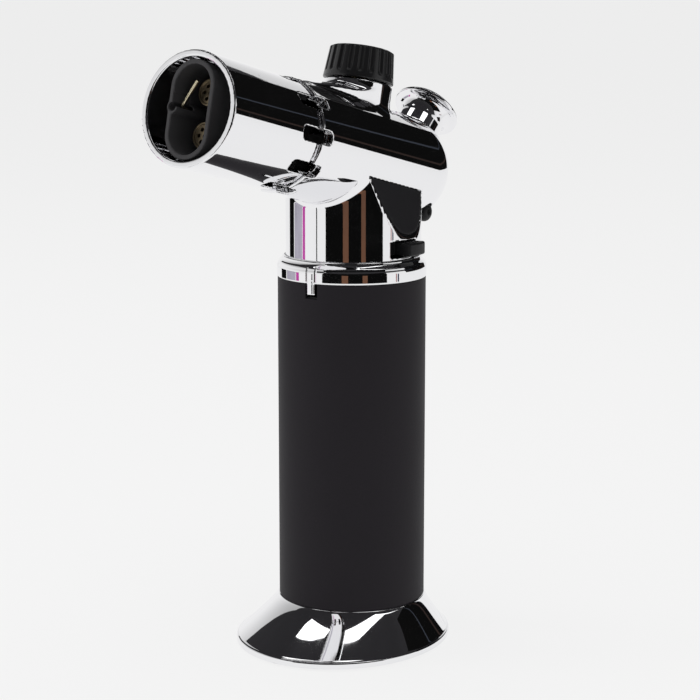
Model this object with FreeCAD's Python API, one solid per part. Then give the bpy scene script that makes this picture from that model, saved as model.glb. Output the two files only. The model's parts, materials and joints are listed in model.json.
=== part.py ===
import FreeCAD, Part
import math
import os

from FreeCAD import Matrix, Rotation, Vector

# Butane torch standing on its oval foot.
# +Z is up, the origin is on the handle's axis at the surface the foot stands on, and the
# nozzle points to -Y.  +X is the side that carries the lock slider.  Millimetres.

# Handle
SLEEVE_R = 20.0
SLEEVE_WALL = 1.1
SLEEVE_BOTTOM = 11.8
SLEEVE_TOP = 100.3
TANK_R = 18.6
TANK_WALL = 1.4
TANK_BOTTOM = 12.0
TANK_FLOOR = 4.5
TANK_TOP = 93.0
CAP_TOP = 96.6

# Refill valve, on the handle's axis in the tank's floor
REFILL_R = 2.95
REFILL_FLANGE_R = 4.6
REFILL_CUP_R = 1.9
REFILL_BORE_R = 1.2
REFILL_BOTTOM = 6.0
REFILL_CUP_TOP = 8.5
REFILL_TOP = 19.4
REFILL_LIP = 18.7

# Foot: an ellipse that blends up to the sleeve's circle
FOOT_HALF_LENGTH = 31.5
FOOT_HALF_WIDTH = 28.2
FOOT_SHIFT = -4.0
FOOT_RIM_TOP = 2.2
FOOT_LIFT = 0.3
FOOT_RECESS_R = 16.0
FOOT_FLOOR = 9.0
PAD_INNER_R = 18.0
PAD_OUTER_R = 24.0
FOOT_FLARE_POWER = 1.2
PAD_THICK = 1.2
FOOT_SCREW_CIRCLE_R = 11.0
FOOT_SCREW_R = 1.2
FOOT_SCREW_HEAD_R = 2.6
FOOT_SCREW_TOP = 15.5

# Collar and neck
COLLAR_R = 20.2
COLLAR_TOP = 106.0
COLLAR_LEDGE = 103.0
NECK_R = 17.8
NECK_BACK = 1.7
NECK_BACK_Z = 106.1
NECK_WALL = 1.9
TAB_ANGLE = 3.0
TAB_WIDTH = 2.4
TAB_BOTTOM = 97.4

# Barrel: a frame tilted up towards the nozzle, s forward, v up, x across
TILT = 13.4
BARREL_Z = 132.4
REAR_R = 14.95
REAR_BORE_R = 13.2
SEAM = 34.7
SEAM_GAP = 1.2
DOME_S = -20.7
NOZZLE_R = 14.4
NOZZLE_BORE_R = 12.7
MOUTH_S = 69.6
SPIGOT_R = 13.15
SPIGOT_BORE_R = 12.0
SPIGOT_S = 22.0
SLOT_REAR_S = 29.9
SLOT_FRONT_S = 41.7
SLOT_WIDTH = 3.8
SLOT_COUNT = 10
PANEL_V = -6.16
PANEL_X = 13.6
PANEL_SLOPE = 0.29
PANEL_THICK = 1.0
PANEL_RIM = 0.35
PANEL_OVAL_HALF_WIDTH = 14.0
PANEL_OVAL_HALF_HEIGHT = 15.95
PANEL_OVAL_Z = 128.0

# Flame dial and its needle valve, on an axis square to the barrel
DIAL_S = 1.8
DIAL_R = 9.5
DIAL_TOP_R = 8.6
DIAL_V = 19.7
DIAL_TOP_V = 28.4
DIAL_RIBS = 20
BOSS_R = 9.3
BOSS_TOP_V = 19.3
SPINDLE_R = 1.9
VALVE_NECK_R = 4.1
VALVE_BLOCK_R = 5.0

# Ignition plunger, on an axis through the dome's centre
BUTTON_ANGLE = 47.0
BUTTON_R = 9.4
BUTTON_STEM_R = 6.2
BUTTON_TOP = 22.6
BUTTON_HOLE_R = 6.9

# Lock slider, an arc about the handle's axis; angles from the front towards +X
LOCK_Z = 106.7
LOCK_HEIGHT = 4.2
LOCK_SLOT = (70.5, 105.3)
LOCK_TAB = (82.0, 104.0)
LOCK_PLATE = (64.0, 110.0)
LOCK_TAB_R = 21.0

# Safety bolt, across the dome's underside
BOLT_R = 2.6
BOLT_Y = 21.0
BOLT_Z = 116.0
BOLT_ENDS = (-9.9, 11.0)

# Outlet valve and the lever that lifts its stem
VALVE_Y = -8.0
VALVE_R = 3.4
VALVE_STEM_R = 1.2
VALVE_STEM_TOP = 105.5
PIVOT_Y = -1.5
PIVOT_Z = 104.5
PIN_R = 1.0
FRAME_FLOOR = 98.4
FRAME_SCREW_X = 10.5
FRAME_SCREW_Y = 5.0
FRAME_WALL_X = 4.95
FRAME_WALL = 1.5

# Igniter under the plunger, heights along the plunger's axis
PIEZO_HALF_WIDTH = 4.0
PIEZO_HALF_DEPTH = 3.5
PIEZO_BOTTOM = -27.0
PIEZO_TOP = -6.2
PIEZO_ROD_R = 2.5
SPRING_SEAT_R = 3.7
SPRING_TOP = 8.0

# Gas line: a soft hose from the outlet valve to the needle valve, then a pipe to the jets
HOSE_R = 1.35
HOSE_BORE_R = 1.0
HOSE_X = -9.3
BARB_BORE_R = 0.5
BARB_Z = 99.9
PIPE_R = 1.3
PIPE_BORE_R = 0.7
PIPE_V = 1.0
MANIFOLD_S = 24.5
JET_R = 1.6
JET_BORE_R = 0.3
JET_S = 27.0

# Burners
MIXING_R = 3.4
MIXING_BORE_R = 2.9
MIXING_REAR_S = 32.6
BURNER_REAR_S = 59.5
BURNER_V = 5.3
BURNER_FACE_S = 62.4
GUARD_HALF_WIDTH = 6.65
GUARD_HALF_HEIGHT = 12.25
GUARD_WALL = 1.25
GUARD_REAR_S = 46.0
GUARD_FRONT_S = 69.0
CHANNEL_X = -5.5
CHANNEL_V = 0.5
CHANNEL_R = 1.6
CHANNEL_BORE_R = 1.1
CARRIER_S = 50.0
WIRE_R = 0.45
LEAD_R = 0.8

RUN = 0.05          # radial clearance of a shaft in its hole
FAR = 60.0          # reach of a cutter that runs right past the torch

UP = Vector(0, 0, 1)
ACROSS = Vector(1, 0, 0)


def axes(origin, along):
    """Placement whose local z is `along` and whose local x stays across the torch."""
    z = Vector(along).normalize()
    y = z.cross(ACROSS).normalize()
    turn = Rotation(Matrix(1, y.x, z.x, 0, 0, y.y, z.y, 0, 0, y.z, z.z, 0, 0, 0, 0, 1))
    return FreeCAD.Placement(origin, turn)


tilt = math.radians(TILT)
FORWARD = Vector(0, -math.cos(tilt), math.sin(tilt))
CROWN = Vector(0, math.sin(tilt), math.cos(tilt))
BARREL = axes(Vector(0, 0, BARREL_Z), FORWARD)
DIAL = axes(Vector(0, 0, BARREL_Z) + FORWARD * DIAL_S, CROWN)
lean = math.radians(BUTTON_ANGLE)
BUTTON = axes(BARREL.multVec(Vector(0, 0, DOME_S)), Vector(0, math.sin(lean), math.cos(lean)))


def place(shape, frame):
    return shape.transformed(frame.toMatrix())


def rod(radius, z0, z1, x=0, y=0):
    """Cylinder along z between two heights."""
    return Part.makeCylinder(radius, z1 - z0, Vector(x, y, z0), UP)


def tube(outer, inner, z0, z1, x=0, y=0):
    return rod(outer, z0, z1, x, y).cut(rod(inner, z0 - 1, z1 + 1, x, y))


def cross_rod(radius, x0, x1, y, z):
    return Part.makeCylinder(radius, x1 - x0, Vector(x0, y, z), ACROSS)


def box(x0, x1, y0, y1, z0, z1):
    return Part.makeBox(x1 - x0, y1 - y0, z1 - z0, Vector(x0, y0, z0))


def torus(ring_r, wire_r, z, x=0, y=0):
    return Part.makeTorus(ring_r, wire_r, Vector(x, y, z), UP)


def lathe(points, x=0, y=0):
    """Solid of revolution about z from (radius, height) points; a third item bulges the next edge."""
    edges = []
    closed = points + points[:1]
    for here, there in zip(closed, closed[1:]):
        start = Vector(here[0], 0, here[1])
        end = Vector(there[0], 0, there[1])
        if len(here) == 3:
            chord = end - start
            side = Vector(chord.z, 0, -chord.x).normalize() * here[2]
            edges.append(Part.Arc(start, (start + end) * 0.5 + side, end).toShape())
        else:
            edges.append(Part.LineSegment(start, end).toShape())
    face = Part.Face(Part.Wire(edges))
    solid = face.revolve(Vector(0, 0, 0), UP, 360)
    solid.translate(Vector(x, y, 0))
    return solid


def stadium(half_width, half_height, z0, z1):
    """Prism with two straight sides and two round ends, long along local y."""
    straight = half_height - half_width
    body = box(-half_width, half_width, -straight, straight, z0, z1)
    for end in (-straight, straight):
        body = body.fuse(rod(half_width, z0, z1, 0, end))
    return body.removeSplitter()


def coil(radius, wire_r, z0, z1, turns, x=0, y=0):
    """Compression spring drawn as a round wire swept along a helix."""
    pitch = (z1 - z0 - 2 * wire_r) / turns
    path = Part.makeHelix(pitch, pitch * turns, radius)
    section = Part.Wire(Part.makeCircle(wire_r, Vector(radius, 0, 0), Vector(0, 1, 0)))
    spring = Part.Wire(path).makePipeShell([section], True, True)
    spring.translate(Vector(x, y, z0 + wire_r))
    return spring


def bent_path(points, bend_r):
    """Straight runs joined by tangent arcs."""
    corners = [Vector(*p) for p in points]
    edges = []
    last = corners[0]
    for before, corner, after in zip(corners, corners[1:], corners[2:]):
        into = (corner - before).normalize()
        out = (after - corner).normalize()
        half_turn = into.getAngle(out) / 2
        shorter = min((corner - before).Length, (after - corner).Length)
        radius = min(bend_r, 0.45 * shorter / math.tan(half_turn))
        reach = radius * math.tan(half_turn)
        start = corner - into * reach
        end = corner + out * reach
        inward = (out - into).normalize()
        middle = corner + inward * (radius / math.cos(half_turn) - radius)
        edges.append(Part.LineSegment(last, start).toShape())
        edges.append(Part.Arc(start, middle, end).toShape())
        last = end
    edges.append(Part.LineSegment(last, corners[-1]).toShape())
    return Part.Wire(edges)


def bent_rod(points, radius, bend_r):
    path = bent_path(points, bend_r)
    first = Vector(*points[0])
    direction = Vector(*points[1]) - first
    section = Part.Wire(Part.makeCircle(radius, first, direction))
    solid = path.makePipeShell([section], True, False)
    expected = math.pi * radius ** 2 * path.Length
    print("bent rod: length %.1f, volume / expected %.3f" % (path.Length, solid.Volume / expected))
    return solid


def foot_section(height, blend):
    """Closed curve of the foot's flare: blend 1 is the rim's ellipse, 0 is the sleeve's circle."""
    top_r = SLEEVE_R + 0.2
    along = top_r + (FOOT_HALF_LENGTH - 0.7 - top_r) * blend
    across = top_r + (FOOT_HALF_WIDTH - 0.7 - top_r) * blend
    centre = Vector(0, FOOT_SHIFT * blend, height)
    if blend == 0:
        return Part.Wire(Part.makeCircle(along, centre, UP, 90, 450))
    ellipse = Part.Ellipse(centre + Vector(0, along, 0), centre + Vector(across, 0, 0), centre)
    return Part.Wire(ellipse.toShape())


def foot_base():
    ellipse = Part.Ellipse(Vector(0, FOOT_SHIFT + FOOT_HALF_LENGTH, 0),
                           Vector(FOOT_HALF_WIDTH, FOOT_SHIFT, 0), Vector(0, FOOT_SHIFT, 0))
    rim = Part.Face(Part.Wire(ellipse.toShape())).extrude(Vector(0, 0, FOOT_RIM_TOP - FOOT_LIFT))
    rim.translate(Vector(0, 0, FOOT_LIFT))
    rim = rim.makeFillet(0.5, [e for e in rim.Edges if len(e.Vertexes) == 1])
    rise = SLEEVE_BOTTOM - FOOT_RIM_TOP
    sections = [foot_section(FOOT_RIM_TOP - 0.2, 1)]
    for step in (0.25, 0.5, 0.75, 1):
        sections.append(foot_section(FOOT_RIM_TOP + rise * step, (1 - step) ** FOOT_FLARE_POWER))
    foot = rim.fuse(Part.makeLoft(sections, True))
    foot = foot.cut(rod(FOOT_RECESS_R, -1, FOOT_FLOOR))
    foot = foot.cut(rod(REFILL_FLANGE_R + 1.4, 0, 20))
    foot = foot.cut(tube(PAD_OUTER_R + 0.1, PAD_INNER_R - 0.1, -1, PAD_THICK))
    for x, y in on_circle(FOOT_SCREW_CIRCLE_R, 3, 90):
        foot = foot.cut(rod(FOOT_SCREW_R + 0.3, 0, 20, x, y))
    return foot


def on_circle(radius, count, start=0):
    turns = [math.radians(start + 360.0 * i / count) for i in range(count)]
    return [(radius * math.cos(t), radius * math.sin(t)) for t in turns]


def foot_screws():
    screws = []
    head_z = FOOT_FLOOR - 1.8
    for x, y in on_circle(FOOT_SCREW_CIRCLE_R, 3, 90):
        screw = rod(FOOT_SCREW_HEAD_R, head_z, FOOT_FLOOR, x, y)
        screw = screw.fuse(rod(FOOT_SCREW_R, FOOT_FLOOR, FOOT_SCREW_TOP, x, y))
        slot = box(x - 1.8, x + 1.8, y - 0.35, y + 0.35, head_z - 1, head_z + 0.8)
        cross = box(x - 0.35, x + 0.35, y - 1.8, y + 1.8, head_z - 1, head_z + 0.8)
        screws.append(screw.cut(slot).cut(cross))
    return Part.makeCompound(screws)


def handle_sleeve():
    """Tube with the notch that the collar's tab drops into."""
    sleeve = tube(SLEEVE_R, SLEEVE_R - SLEEVE_WALL, SLEEVE_BOTTOM, SLEEVE_TOP)
    half = TAB_WIDTH / 2 + 0.6
    notch = box(-half, half, -SLEEVE_R - 2, 0, TAB_BOTTOM - 1, SLEEVE_TOP + 1)
    notch.rotate(Vector(0, 0, 0), UP, TAB_ANGLE)
    return sleeve.cut(notch)


def fuel_tank():
    """Round cup with blind holes for the foot's screws and a hole for the refill valve."""
    inner = TANK_R - TANK_WALL
    floor = TANK_BOTTOM + TANK_FLOOR
    hole = REFILL_R + RUN
    tank = lathe([(hole, TANK_BOTTOM), (TANK_R, TANK_BOTTOM), (TANK_R, TANK_TOP), (inner, TANK_TOP),
                  (inner, floor), (hole, floor)])
    for x, y in on_circle(FOOT_SCREW_CIRCLE_R, 3, 90):
        tank = tank.cut(rod(FOOT_SCREW_R + RUN, 0, FOOT_SCREW_TOP + 0.2, x, y))
    return tank


def tank_cap():
    cap = rod(TANK_R, TANK_TOP, CAP_TOP).fuse(rod(TANK_R - TANK_WALL, TANK_TOP - 3, TANK_TOP))
    cap = cap.cut(rod(TANK_R - 3, TANK_TOP - 4, TANK_TOP - 0.01))
    cap = cap.cut(rod(VALVE_R + RUN, 80, 120, 0, VALVE_Y))
    for x in (-FRAME_SCREW_X, FRAME_SCREW_X):
        cap = cap.cut(rod(1.0, CAP_TOP - 3, 120, x, FRAME_SCREW_Y))
    return cap


def fill_valve_body():
    """Turned sleeve: a cup below for the can's nozzle, a flange, and a spring chamber above."""
    chamber_r = 2.0
    seal_z = 11.0
    return lathe([(REFILL_CUP_R, REFILL_BOTTOM), (REFILL_R, REFILL_BOTTOM), (REFILL_R, 10.9),
                  (REFILL_FLANGE_R, 10.9), (REFILL_FLANGE_R, 11.9), (REFILL_R, 11.9),
                  (REFILL_R, REFILL_TOP), (REFILL_BORE_R, REFILL_TOP), (REFILL_BORE_R, REFILL_LIP),
                  (chamber_r, REFILL_LIP), (chamber_r, seal_z), (REFILL_BORE_R, seal_z),
                  (REFILL_BORE_R, REFILL_CUP_TOP), (REFILL_CUP_R, REFILL_CUP_TOP)])


def fill_valve_stem():
    """Pin with a flange that the spring holds down on the seal."""
    pin_r = REFILL_BORE_R - RUN
    return lathe([(0, 8.7), (pin_r, 8.7), (pin_r, 12.0), (1.9, 12.0), (1.9, 13.1), (0.8, 13.1),
                  (0.8, 15.0), (0, 15.0)])


def collar_ring():
    """Ring with a bead and a stepped shoulder, and the tab that keys it to the sleeve."""
    inner = 16.5
    neck_hole = NECK_R + RUN
    ring = lathe([(inner, SLEEVE_TOP), (COLLAR_R, SLEEVE_TOP), (COLLAR_R, 103.6, 0.45), (18.9, 105.3),
                  (18.7, 105.3, 0.33), (18.1, COLLAR_TOP), (neck_hole, COLLAR_TOP),
                  (neck_hole, COLLAR_LEDGE), (inner, COLLAR_LEDGE)])
    half = TAB_WIDTH / 2
    tab = box(-half, half, -COLLAR_R, -SLEEVE_R + SLEEVE_WALL, TAB_BOTTOM, SLEEVE_TOP)
    tab = tab.common(rod(COLLAR_R, TAB_BOTTOM, SLEEVE_TOP))
    ring = ring.fuse(tab).removeSplitter()
    for x in (-half - 0.15, half + 0.15):
        ring = ring.cut(box(x - 0.15, x + 0.15, -COLLAR_R - 1, -COLLAR_R + 0.6, SLEEVE_TOP - 1, 104.9))
    ring.rotate(Vector(0, 0, 0), UP, TAB_ANGLE)
    return ring


def side_slab(side, proud, depth):
    """Slab along one flat side of the neck, from `proud` outside the flat to `depth` inside it."""
    slab = box(-depth, proud, -FAR, FAR, -FAR, FAR)
    slab.rotate(Vector(0, 0, 0), UP, math.degrees(math.atan(PANEL_SLOPE)))
    slab.translate(Vector(PANEL_X, PANEL_V, 0))
    if side < 0:
        slab = slab.mirror(Vector(0, 0, 0), ACROSS)
    return place(slab, BARREL)


def deep_rod(radius, z0):
    """Upright column, a little deeper from front to back than it is wide."""
    z1 = BARREL_Z + FAR
    rear = rod(radius, z0, z1)
    rear.translate(Vector(0, NECK_BACK, 0))
    middle = box(-radius, radius, 0, NECK_BACK, z0, z1)
    return rod(radius, z0, z1).fuse(middle).fuse(rear).removeSplitter()


def neck_block(column, inset):
    """Column between the neck's two flat sides, up to the barrel's axis."""
    block = column.common(place(box(-FAR, FAR, -FAR, 0, -FAR, FAR), BARREL))
    for side in (-1, 1):
        block = block.cut(side_slab(side, FAR, inset))
    return block


def air_slots():
    """Round-cornered cutters for the ring of air slots across the seam."""
    length = SLOT_FRONT_S - SLOT_REAR_S
    slot = box(-SLOT_WIDTH / 2, SLOT_WIDTH / 2, 0, 20, SLOT_REAR_S, SLOT_FRONT_S)
    upright = [e for e in slot.Edges if abs(e.tangentAt(0).y) > 0.9]
    slot = slot.makeFillet(min(1.2, length / 4), upright)
    cutters = []
    for i in range(SLOT_COUNT):
        turned = slot.copy()
        turned.rotate(Vector(0, 0, 0), UP, 18 + 360.0 * i / SLOT_COUNT)
        cutters.append(turned)
    return place(Part.makeCompound(cutters), BARREL)


def head_shell():
    """One hollow casting: neck, rear half of the barrel, domed end and the dial's boss."""
    front = SEAM - SEAM_GAP / 2
    barrel = rod(REAR_R, DOME_S, front)
    barrel = barrel.makeFillet(0.35, [e for e in barrel.Edges if abs(e.CenterOfMass.z - front) < 0.01])
    dome = Part.makeSphere(REAR_R, Vector(0, 0, DOME_S))
    outer = place(barrel.fuse(dome), BARREL)
    outer = outer.fuse(neck_block(rod(NECK_R, COLLAR_LEDGE + 0.1, BARREL_Z), 0))
    outer = outer.fuse(neck_block(deep_rod(NECK_R, NECK_BACK_Z), 0))
    outer = outer.fuse(place(rod(BOSS_R, 5, BOSS_TOP_V), DIAL))
    outer = outer.fuse(place(dial_ramp(), BARREL))
    bore = rod(REAR_BORE_R, DOME_S, SEAM + 5).fuse(Part.makeSphere(REAR_BORE_R, Vector(0, 0, DOME_S)))
    shell = outer.cut(place(bore, BARREL))
    shell = shell.cut(neck_block(rod(NECK_R - NECK_WALL, 90, BARREL_Z + FAR), NECK_WALL))
    shell = shell.cut(place(rod(VALVE_NECK_R + RUN, 5, 30), DIAL))
    shell = shell.cut(place(rod(BUTTON_HOLE_R, 5, 30), BUTTON))
    shell = shell.cut(cross_rod(BOLT_R + 2 * RUN, -30, 30, BOLT_Y, BOLT_Z))
    shell = shell.cut(lock_sector(NECK_R - 4, NECK_R + 5, LOCK_SLOT, LOCK_Z, LOCK_Z + LOCK_HEIGHT))
    shell = shell.cut(air_slots())
    for side in (-1, 1):
        shell = shell.cut(panel_blank(side, PANEL_RIM - RUN, PANEL_THICK + RUN, 2.0))
    return shell


def dial_ramp():
    """Low crowned pad that rises from the barrel's top to the front of the dial boss."""
    front_s = 26.5
    crown = rod(REAR_R, -20, FAR)
    crown.rotate(Vector(0, 0, front_s + 0.5), ACROSS, 9.0)
    outline = Part.makePolygon([Vector(-3.5, 0, front_s), Vector(3.5, 0, front_s), Vector(7.5, 0, 6),
                                Vector(-7.5, 0, 6), Vector(-3.5, 0, front_s)])
    plan = Part.Face(outline).extrude(Vector(0, 20, 0))
    corners = [e for e in plan.Edges if abs(e.tangentAt(0).y) > 0.9 and e.CenterOfMass.z > 20]
    return crown.common(plan.makeFillet(2.0, corners))


def panel_oval(rim):
    """Upright oval across the neck that rounds off the foot of a side panel."""
    outline = Part.Ellipse(Vector(0, 0, -FAR), PANEL_OVAL_HALF_HEIGHT - rim, PANEL_OVAL_HALF_WIDTH - rim)
    oval = Part.Face(Part.Wire(outline.toShape())).extrude(Vector(0, 0, 2 * FAR))
    oval.rotate(Vector(0, 0, 0), Vector(0, 1, 0), -90)
    oval.translate(Vector(0, NECK_BACK, PANEL_OVAL_Z))
    return oval


def panel_blank(side, rim, depth, proud):
    """Inlay of a flat side: the neck's section through the flat, drawn in by a rim."""
    blank = deep_rod(NECK_R - rim, 90).common(panel_oval(rim))
    blank = blank.common(side_slab(side, proud, depth))
    below = place(box(-FAR, FAR, -FAR, PANEL_V - rim, -FAR, FAR), BARREL)
    return blank.common(below)


def lock_sector(inner, outer, angles, z0, z1):
    """Part of a ring about the handle's axis; angles are from the front towards +X."""
    start, end = angles
    wedge = Part.makeCylinder(outer, z1 - z0, Vector(0, 0, z0), UP, end - start)
    wedge.rotate(Vector(0, 0, 0), UP, start - 90)
    return wedge.cut(rod(inner, z0 - 1, z1 + 1))


def nozzle_tube():
    rear = SEAM + SEAM_GAP / 2
    tube_body = lathe([(SPIGOT_BORE_R, SPIGOT_S), (SPIGOT_R, SPIGOT_S), (SPIGOT_R, rear),
                       (NOZZLE_R - 0.3, rear), (NOZZLE_R, rear + 0.3), (NOZZLE_R, MOUTH_S - 0.9, 0.22),
                       (NOZZLE_R - 0.55, MOUTH_S), (NOZZLE_BORE_R + 0.4, MOUTH_S, 0.12),
                       (NOZZLE_BORE_R, MOUTH_S - 0.5), (NOZZLE_BORE_R, rear + 8),
                       (SPIGOT_BORE_R, rear + 6.5)])
    return place(tube_body, BARREL).cut(air_slots())


def flame_dial():
    """Tapered cap, hollow underneath, with round-ended flutes cut into its side."""
    slope = (DIAL_R - DIAL_TOP_R) / (DIAL_TOP_V - DIAL_V)
    bore_top = 26.0
    skirt_r = 8.2
    hub_r = 3.2
    knob = lathe([(skirt_r, DIAL_V), (DIAL_R - 0.25, DIAL_V), (DIAL_R, DIAL_V + 0.25),
                  (DIAL_TOP_R + 0.9 * slope, DIAL_TOP_V - 0.9, 0.28), (DIAL_TOP_R - 1.0, DIAL_TOP_V),
                  (0, DIAL_TOP_V + 0.15), (0, bore_top), (hub_r, bore_top), (hub_r, DIAL_V + 0.5),
                  (5.2, DIAL_V + 0.5), (5.2, bore_top), (skirt_r, bore_top)])
    flute_r = 0.72
    foot_r = DIAL_R - slope * 2.0 + 0.15
    for x, y in on_circle(1, DIAL_RIBS):
        foot = Vector(x * foot_r, y * foot_r, DIAL_V + 2.3)
        flute = Part.makeCylinder(flute_r, 12, foot, Vector(-x * slope, -y * slope, 1))
        knob = knob.cut(flute.fuse(Part.makeSphere(flute_r, foot)))
    return place(knob.cut(rod(SPINDLE_R, 15, bore_top)), DIAL)


def dial_spindle():
    spindle = lathe([(0, 3.2), (0.3, 3.2), (SPINDLE_R, 6.5), (SPINDLE_R, 25.9), (0, 25.9)])
    return place(spindle, DIAL)


def regulator_body():
    body = rod(VALVE_BLOCK_R, -4.0, 9.5).fuse(rod(VALVE_NECK_R, 9.5, 18.6))
    body = body.cut(rod(SPINDLE_R + RUN, 3.0, 30)).cut(rod(2.85, 14.5, 15.5)).cut(rod(0.6, -1, 4))
    body = place(body, DIAL)
    barb_y, barb_z = regulator_port()
    barb = cross_rod(HOSE_BORE_R, -7.8, -4.0, barb_y, barb_z)
    outlet = place(rod(PIPE_BORE_R, 2, 12, 0, PIPE_V), BARREL)
    body = body.fuse(barb)
    return body.cut(cross_rod(BARB_BORE_R, -9, 0, barb_y, barb_z)).cut(outlet)


def regulator_port():
    port = DIAL.multVec(Vector(0, 0, 1.0))
    return port.y, port.z


def gas_hose():
    """Soft tube pushed over the barbs of the outlet valve and the needle valve."""
    barb_y, barb_z = regulator_port()
    route = [(-4.2, VALVE_Y, BARB_Z), (HOSE_X, VALVE_Y, BARB_Z), (HOSE_X, -6.0, 107.0),
             (HOSE_X, -3.4, 116.0), (HOSE_X, -1.9, 125.0), (HOSE_X, barb_y, barb_z),
             (-5.6, barb_y, barb_z)]
    return bent_rod(route, HOSE_R, 2.3).cut(bent_rod(route, HOSE_BORE_R, 2.3))


def outlet_valve_body():
    bore = VALVE_STEM_R + RUN
    foot_r = 1.5
    flange_top = FRAME_FLOOR - 0.1
    body = lathe([(foot_r, 87.5), (VALVE_R, 87.5), (VALVE_R, CAP_TOP), (4.8, CAP_TOP), (4.8, flange_top),
                  (3.0, flange_top), (3.0, 101.2), (bore, 101.2), (bore, 92.0), (foot_r, 92.0)], 0, VALVE_Y)
    barb = cross_rod(HOSE_BORE_R, -7.6, -2.6, VALVE_Y, BARB_Z)
    return body.fuse(barb).cut(cross_rod(BARB_BORE_R, -9, -1, VALVE_Y, BARB_Z))


def outlet_valve_stem():
    """Pin with a small head that the lever's fork lifts."""
    head_z = VALVE_STEM_TOP - 0.75
    return lathe([(0, 92.4), (VALVE_STEM_R, 92.4), (VALVE_STEM_R, head_z), (2.4, head_z),
                  (2.4, VALVE_STEM_TOP), (0, VALVE_STEM_TOP)], 0, VALVE_Y)


def inner_frame():
    """Moulded floor with two upright walls that hold the lever's pin and the igniter."""
    frame = rod(15.0, CAP_TOP + RUN, FRAME_FLOOR).cut(rod(5.2, 90, 100, 0, VALVE_Y))
    for x in (-FRAME_WALL_X, FRAME_WALL_X):
        frame = frame.fuse(box(x - FRAME_WALL / 2, x + FRAME_WALL / 2, -4, 12.5, FRAME_FLOOR - 0.4, 117.0))
    frame = frame.cut(cross_rod(PIN_R, -20, 20, PIVOT_Y, PIVOT_Z))
    for x in (-FRAME_SCREW_X, FRAME_SCREW_X):
        frame = frame.cut(rod(1.1, 90, 100, x, FRAME_SCREW_Y))
    return frame.removeSplitter()


def frame_screws():
    screws = []
    y = FRAME_SCREW_Y
    for x in (-FRAME_SCREW_X, FRAME_SCREW_X):
        head = rod(1.9, FRAME_FLOOR, FRAME_FLOOR + 1.4, x, y)
        head = head.cut(box(x - 1.4, x + 1.4, y - 0.3, y + 0.3, FRAME_FLOOR + 0.8, 100))
        screws.append(head.fuse(rod(0.95, CAP_TOP - 2.8, FRAME_FLOOR, x, y)))
    return Part.makeCompound(screws)


def ignition_button():
    """Trumpet-headed hollow plunger with a push rod down one side, for the lever."""
    stem_bottom = 2.0
    button = lathe([(0, BUTTON_TOP - 1.2), (6.6, BUTTON_TOP - 0.9, 0.5), (7.9, BUTTON_TOP),
                    (8.6, BUTTON_TOP, 0.28), (BUTTON_R, BUTTON_TOP - 0.9), (9.25, BUTTON_TOP - 1.4),
                    (8.9, BUTTON_TOP - 1.5, 0.55), (BUTTON_STEM_R + 0.15, 17.6), (BUTTON_STEM_R, 17.0),
                    (BUTTON_STEM_R, stem_bottom), (5.2, stem_bottom), (5.2, 18.0), (0, 18.0)])
    push_rod = box(-2.0, 2.0, 3.8, 5.3, -17.5, stem_bottom + 2)
    web = box(-2.0, 2.0, 3.9, 5.6, stem_bottom, stem_bottom + 2)
    return place(button.fuse(push_rod).fuse(web).removeSplitter(), BUTTON)


def button_guide():
    """Bush in the dome's hole, with a flange that bears on the inside of the dome."""
    bore = BUTTON_STEM_R + 2 * RUN
    guide = tube(BUTTON_HOLE_R - RUN, bore, 5.0, 13.0)
    return place(guide.fuse(tube(7.35, bore, 9.2, 10.6)).removeSplitter(), BUTTON)


def piezo_body():
    body = box(-PIEZO_HALF_WIDTH, PIEZO_HALF_WIDTH, -PIEZO_HALF_DEPTH, PIEZO_HALF_DEPTH,
               PIEZO_BOTTOM, -7.0)
    body = body.fuse(rod(SPRING_SEAT_R, -7.0, PIEZO_TOP))
    return place(body.cut(rod(PIEZO_ROD_R + RUN, -18.5, 0)), BUTTON)


def piezo_plunger():
    """Rod that the button pushes down, with the collar that the return spring lifts."""
    plunger = rod(PIEZO_ROD_R, -12.5, 17.9).fuse(rod(SPRING_SEAT_R, SPRING_TOP, SPRING_TOP + 1.2))
    return place(plunger, BUTTON)


def valve_lever():
    """Rocker: a nose at the rear that the push rod presses, and a fork at the front under the stem."""
    profile = ((-3.0, 103.4), (12.0, 103.4), (12.0, 111.1), (9.6, 110.0), (9.6, 105.6), (-3.0, 105.6))
    arm = Part.makePolygon([Vector(0, y, z) for y, z in profile + profile[:1]])
    lever = Part.Face(arm).extrude(Vector(5.0, 0, 0))
    lever.translate(Vector(-2.5, 0, 0))
    lever = lever.fuse(cross_rod(1.9, -3.0, 3.0, PIVOT_Y, PIVOT_Z))
    for x in (-3.0, 1.5):
        lever = lever.fuse(box(x, x + 1.5, -9.3, -2.5, 103.3, 104.25))
    return lever.cut(cross_rod(PIN_R + RUN, -9, 9, PIVOT_Y, PIVOT_Z)).removeSplitter()


def lock_slider():
    """Curved plate inside the neck with a rounded thumb tab out through the slot."""
    bottom = LOCK_Z + 0.35
    top = LOCK_Z + LOCK_HEIGHT - 0.35
    plate = lock_sector(13.4, 15.5, LOCK_PLATE, bottom, top)
    tab = lock_sector(14.5, LOCK_TAB_R, LOCK_TAB, bottom, top)
    near_r = LOCK_TAB_R - 0.6
    outside = [e for e in tab.Edges if math.hypot(e.CenterOfMass.x, e.CenterOfMass.y) > near_r]
    return plate.fuse(tab.makeFillet(0.45, outside)).removeSplitter()


def safety_bolt():
    """Round bolt with domed ends and a waist that the push rod can pass when it is pushed across."""
    bolt = cross_rod(BOLT_R, BOLT_ENDS[0], BOLT_ENDS[1], BOLT_Y, BOLT_Z)
    bolt = bolt.makeFillet(1.5, [e for e in bolt.Edges if len(e.Vertexes) == 1])
    waist = cross_rod(BOLT_R + 1, -2.6, 2.6, BOLT_Y, BOLT_Z).cut(cross_rod(1.7, -3, 3, BOLT_Y, BOLT_Z))
    return bolt.cut(waist)


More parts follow.
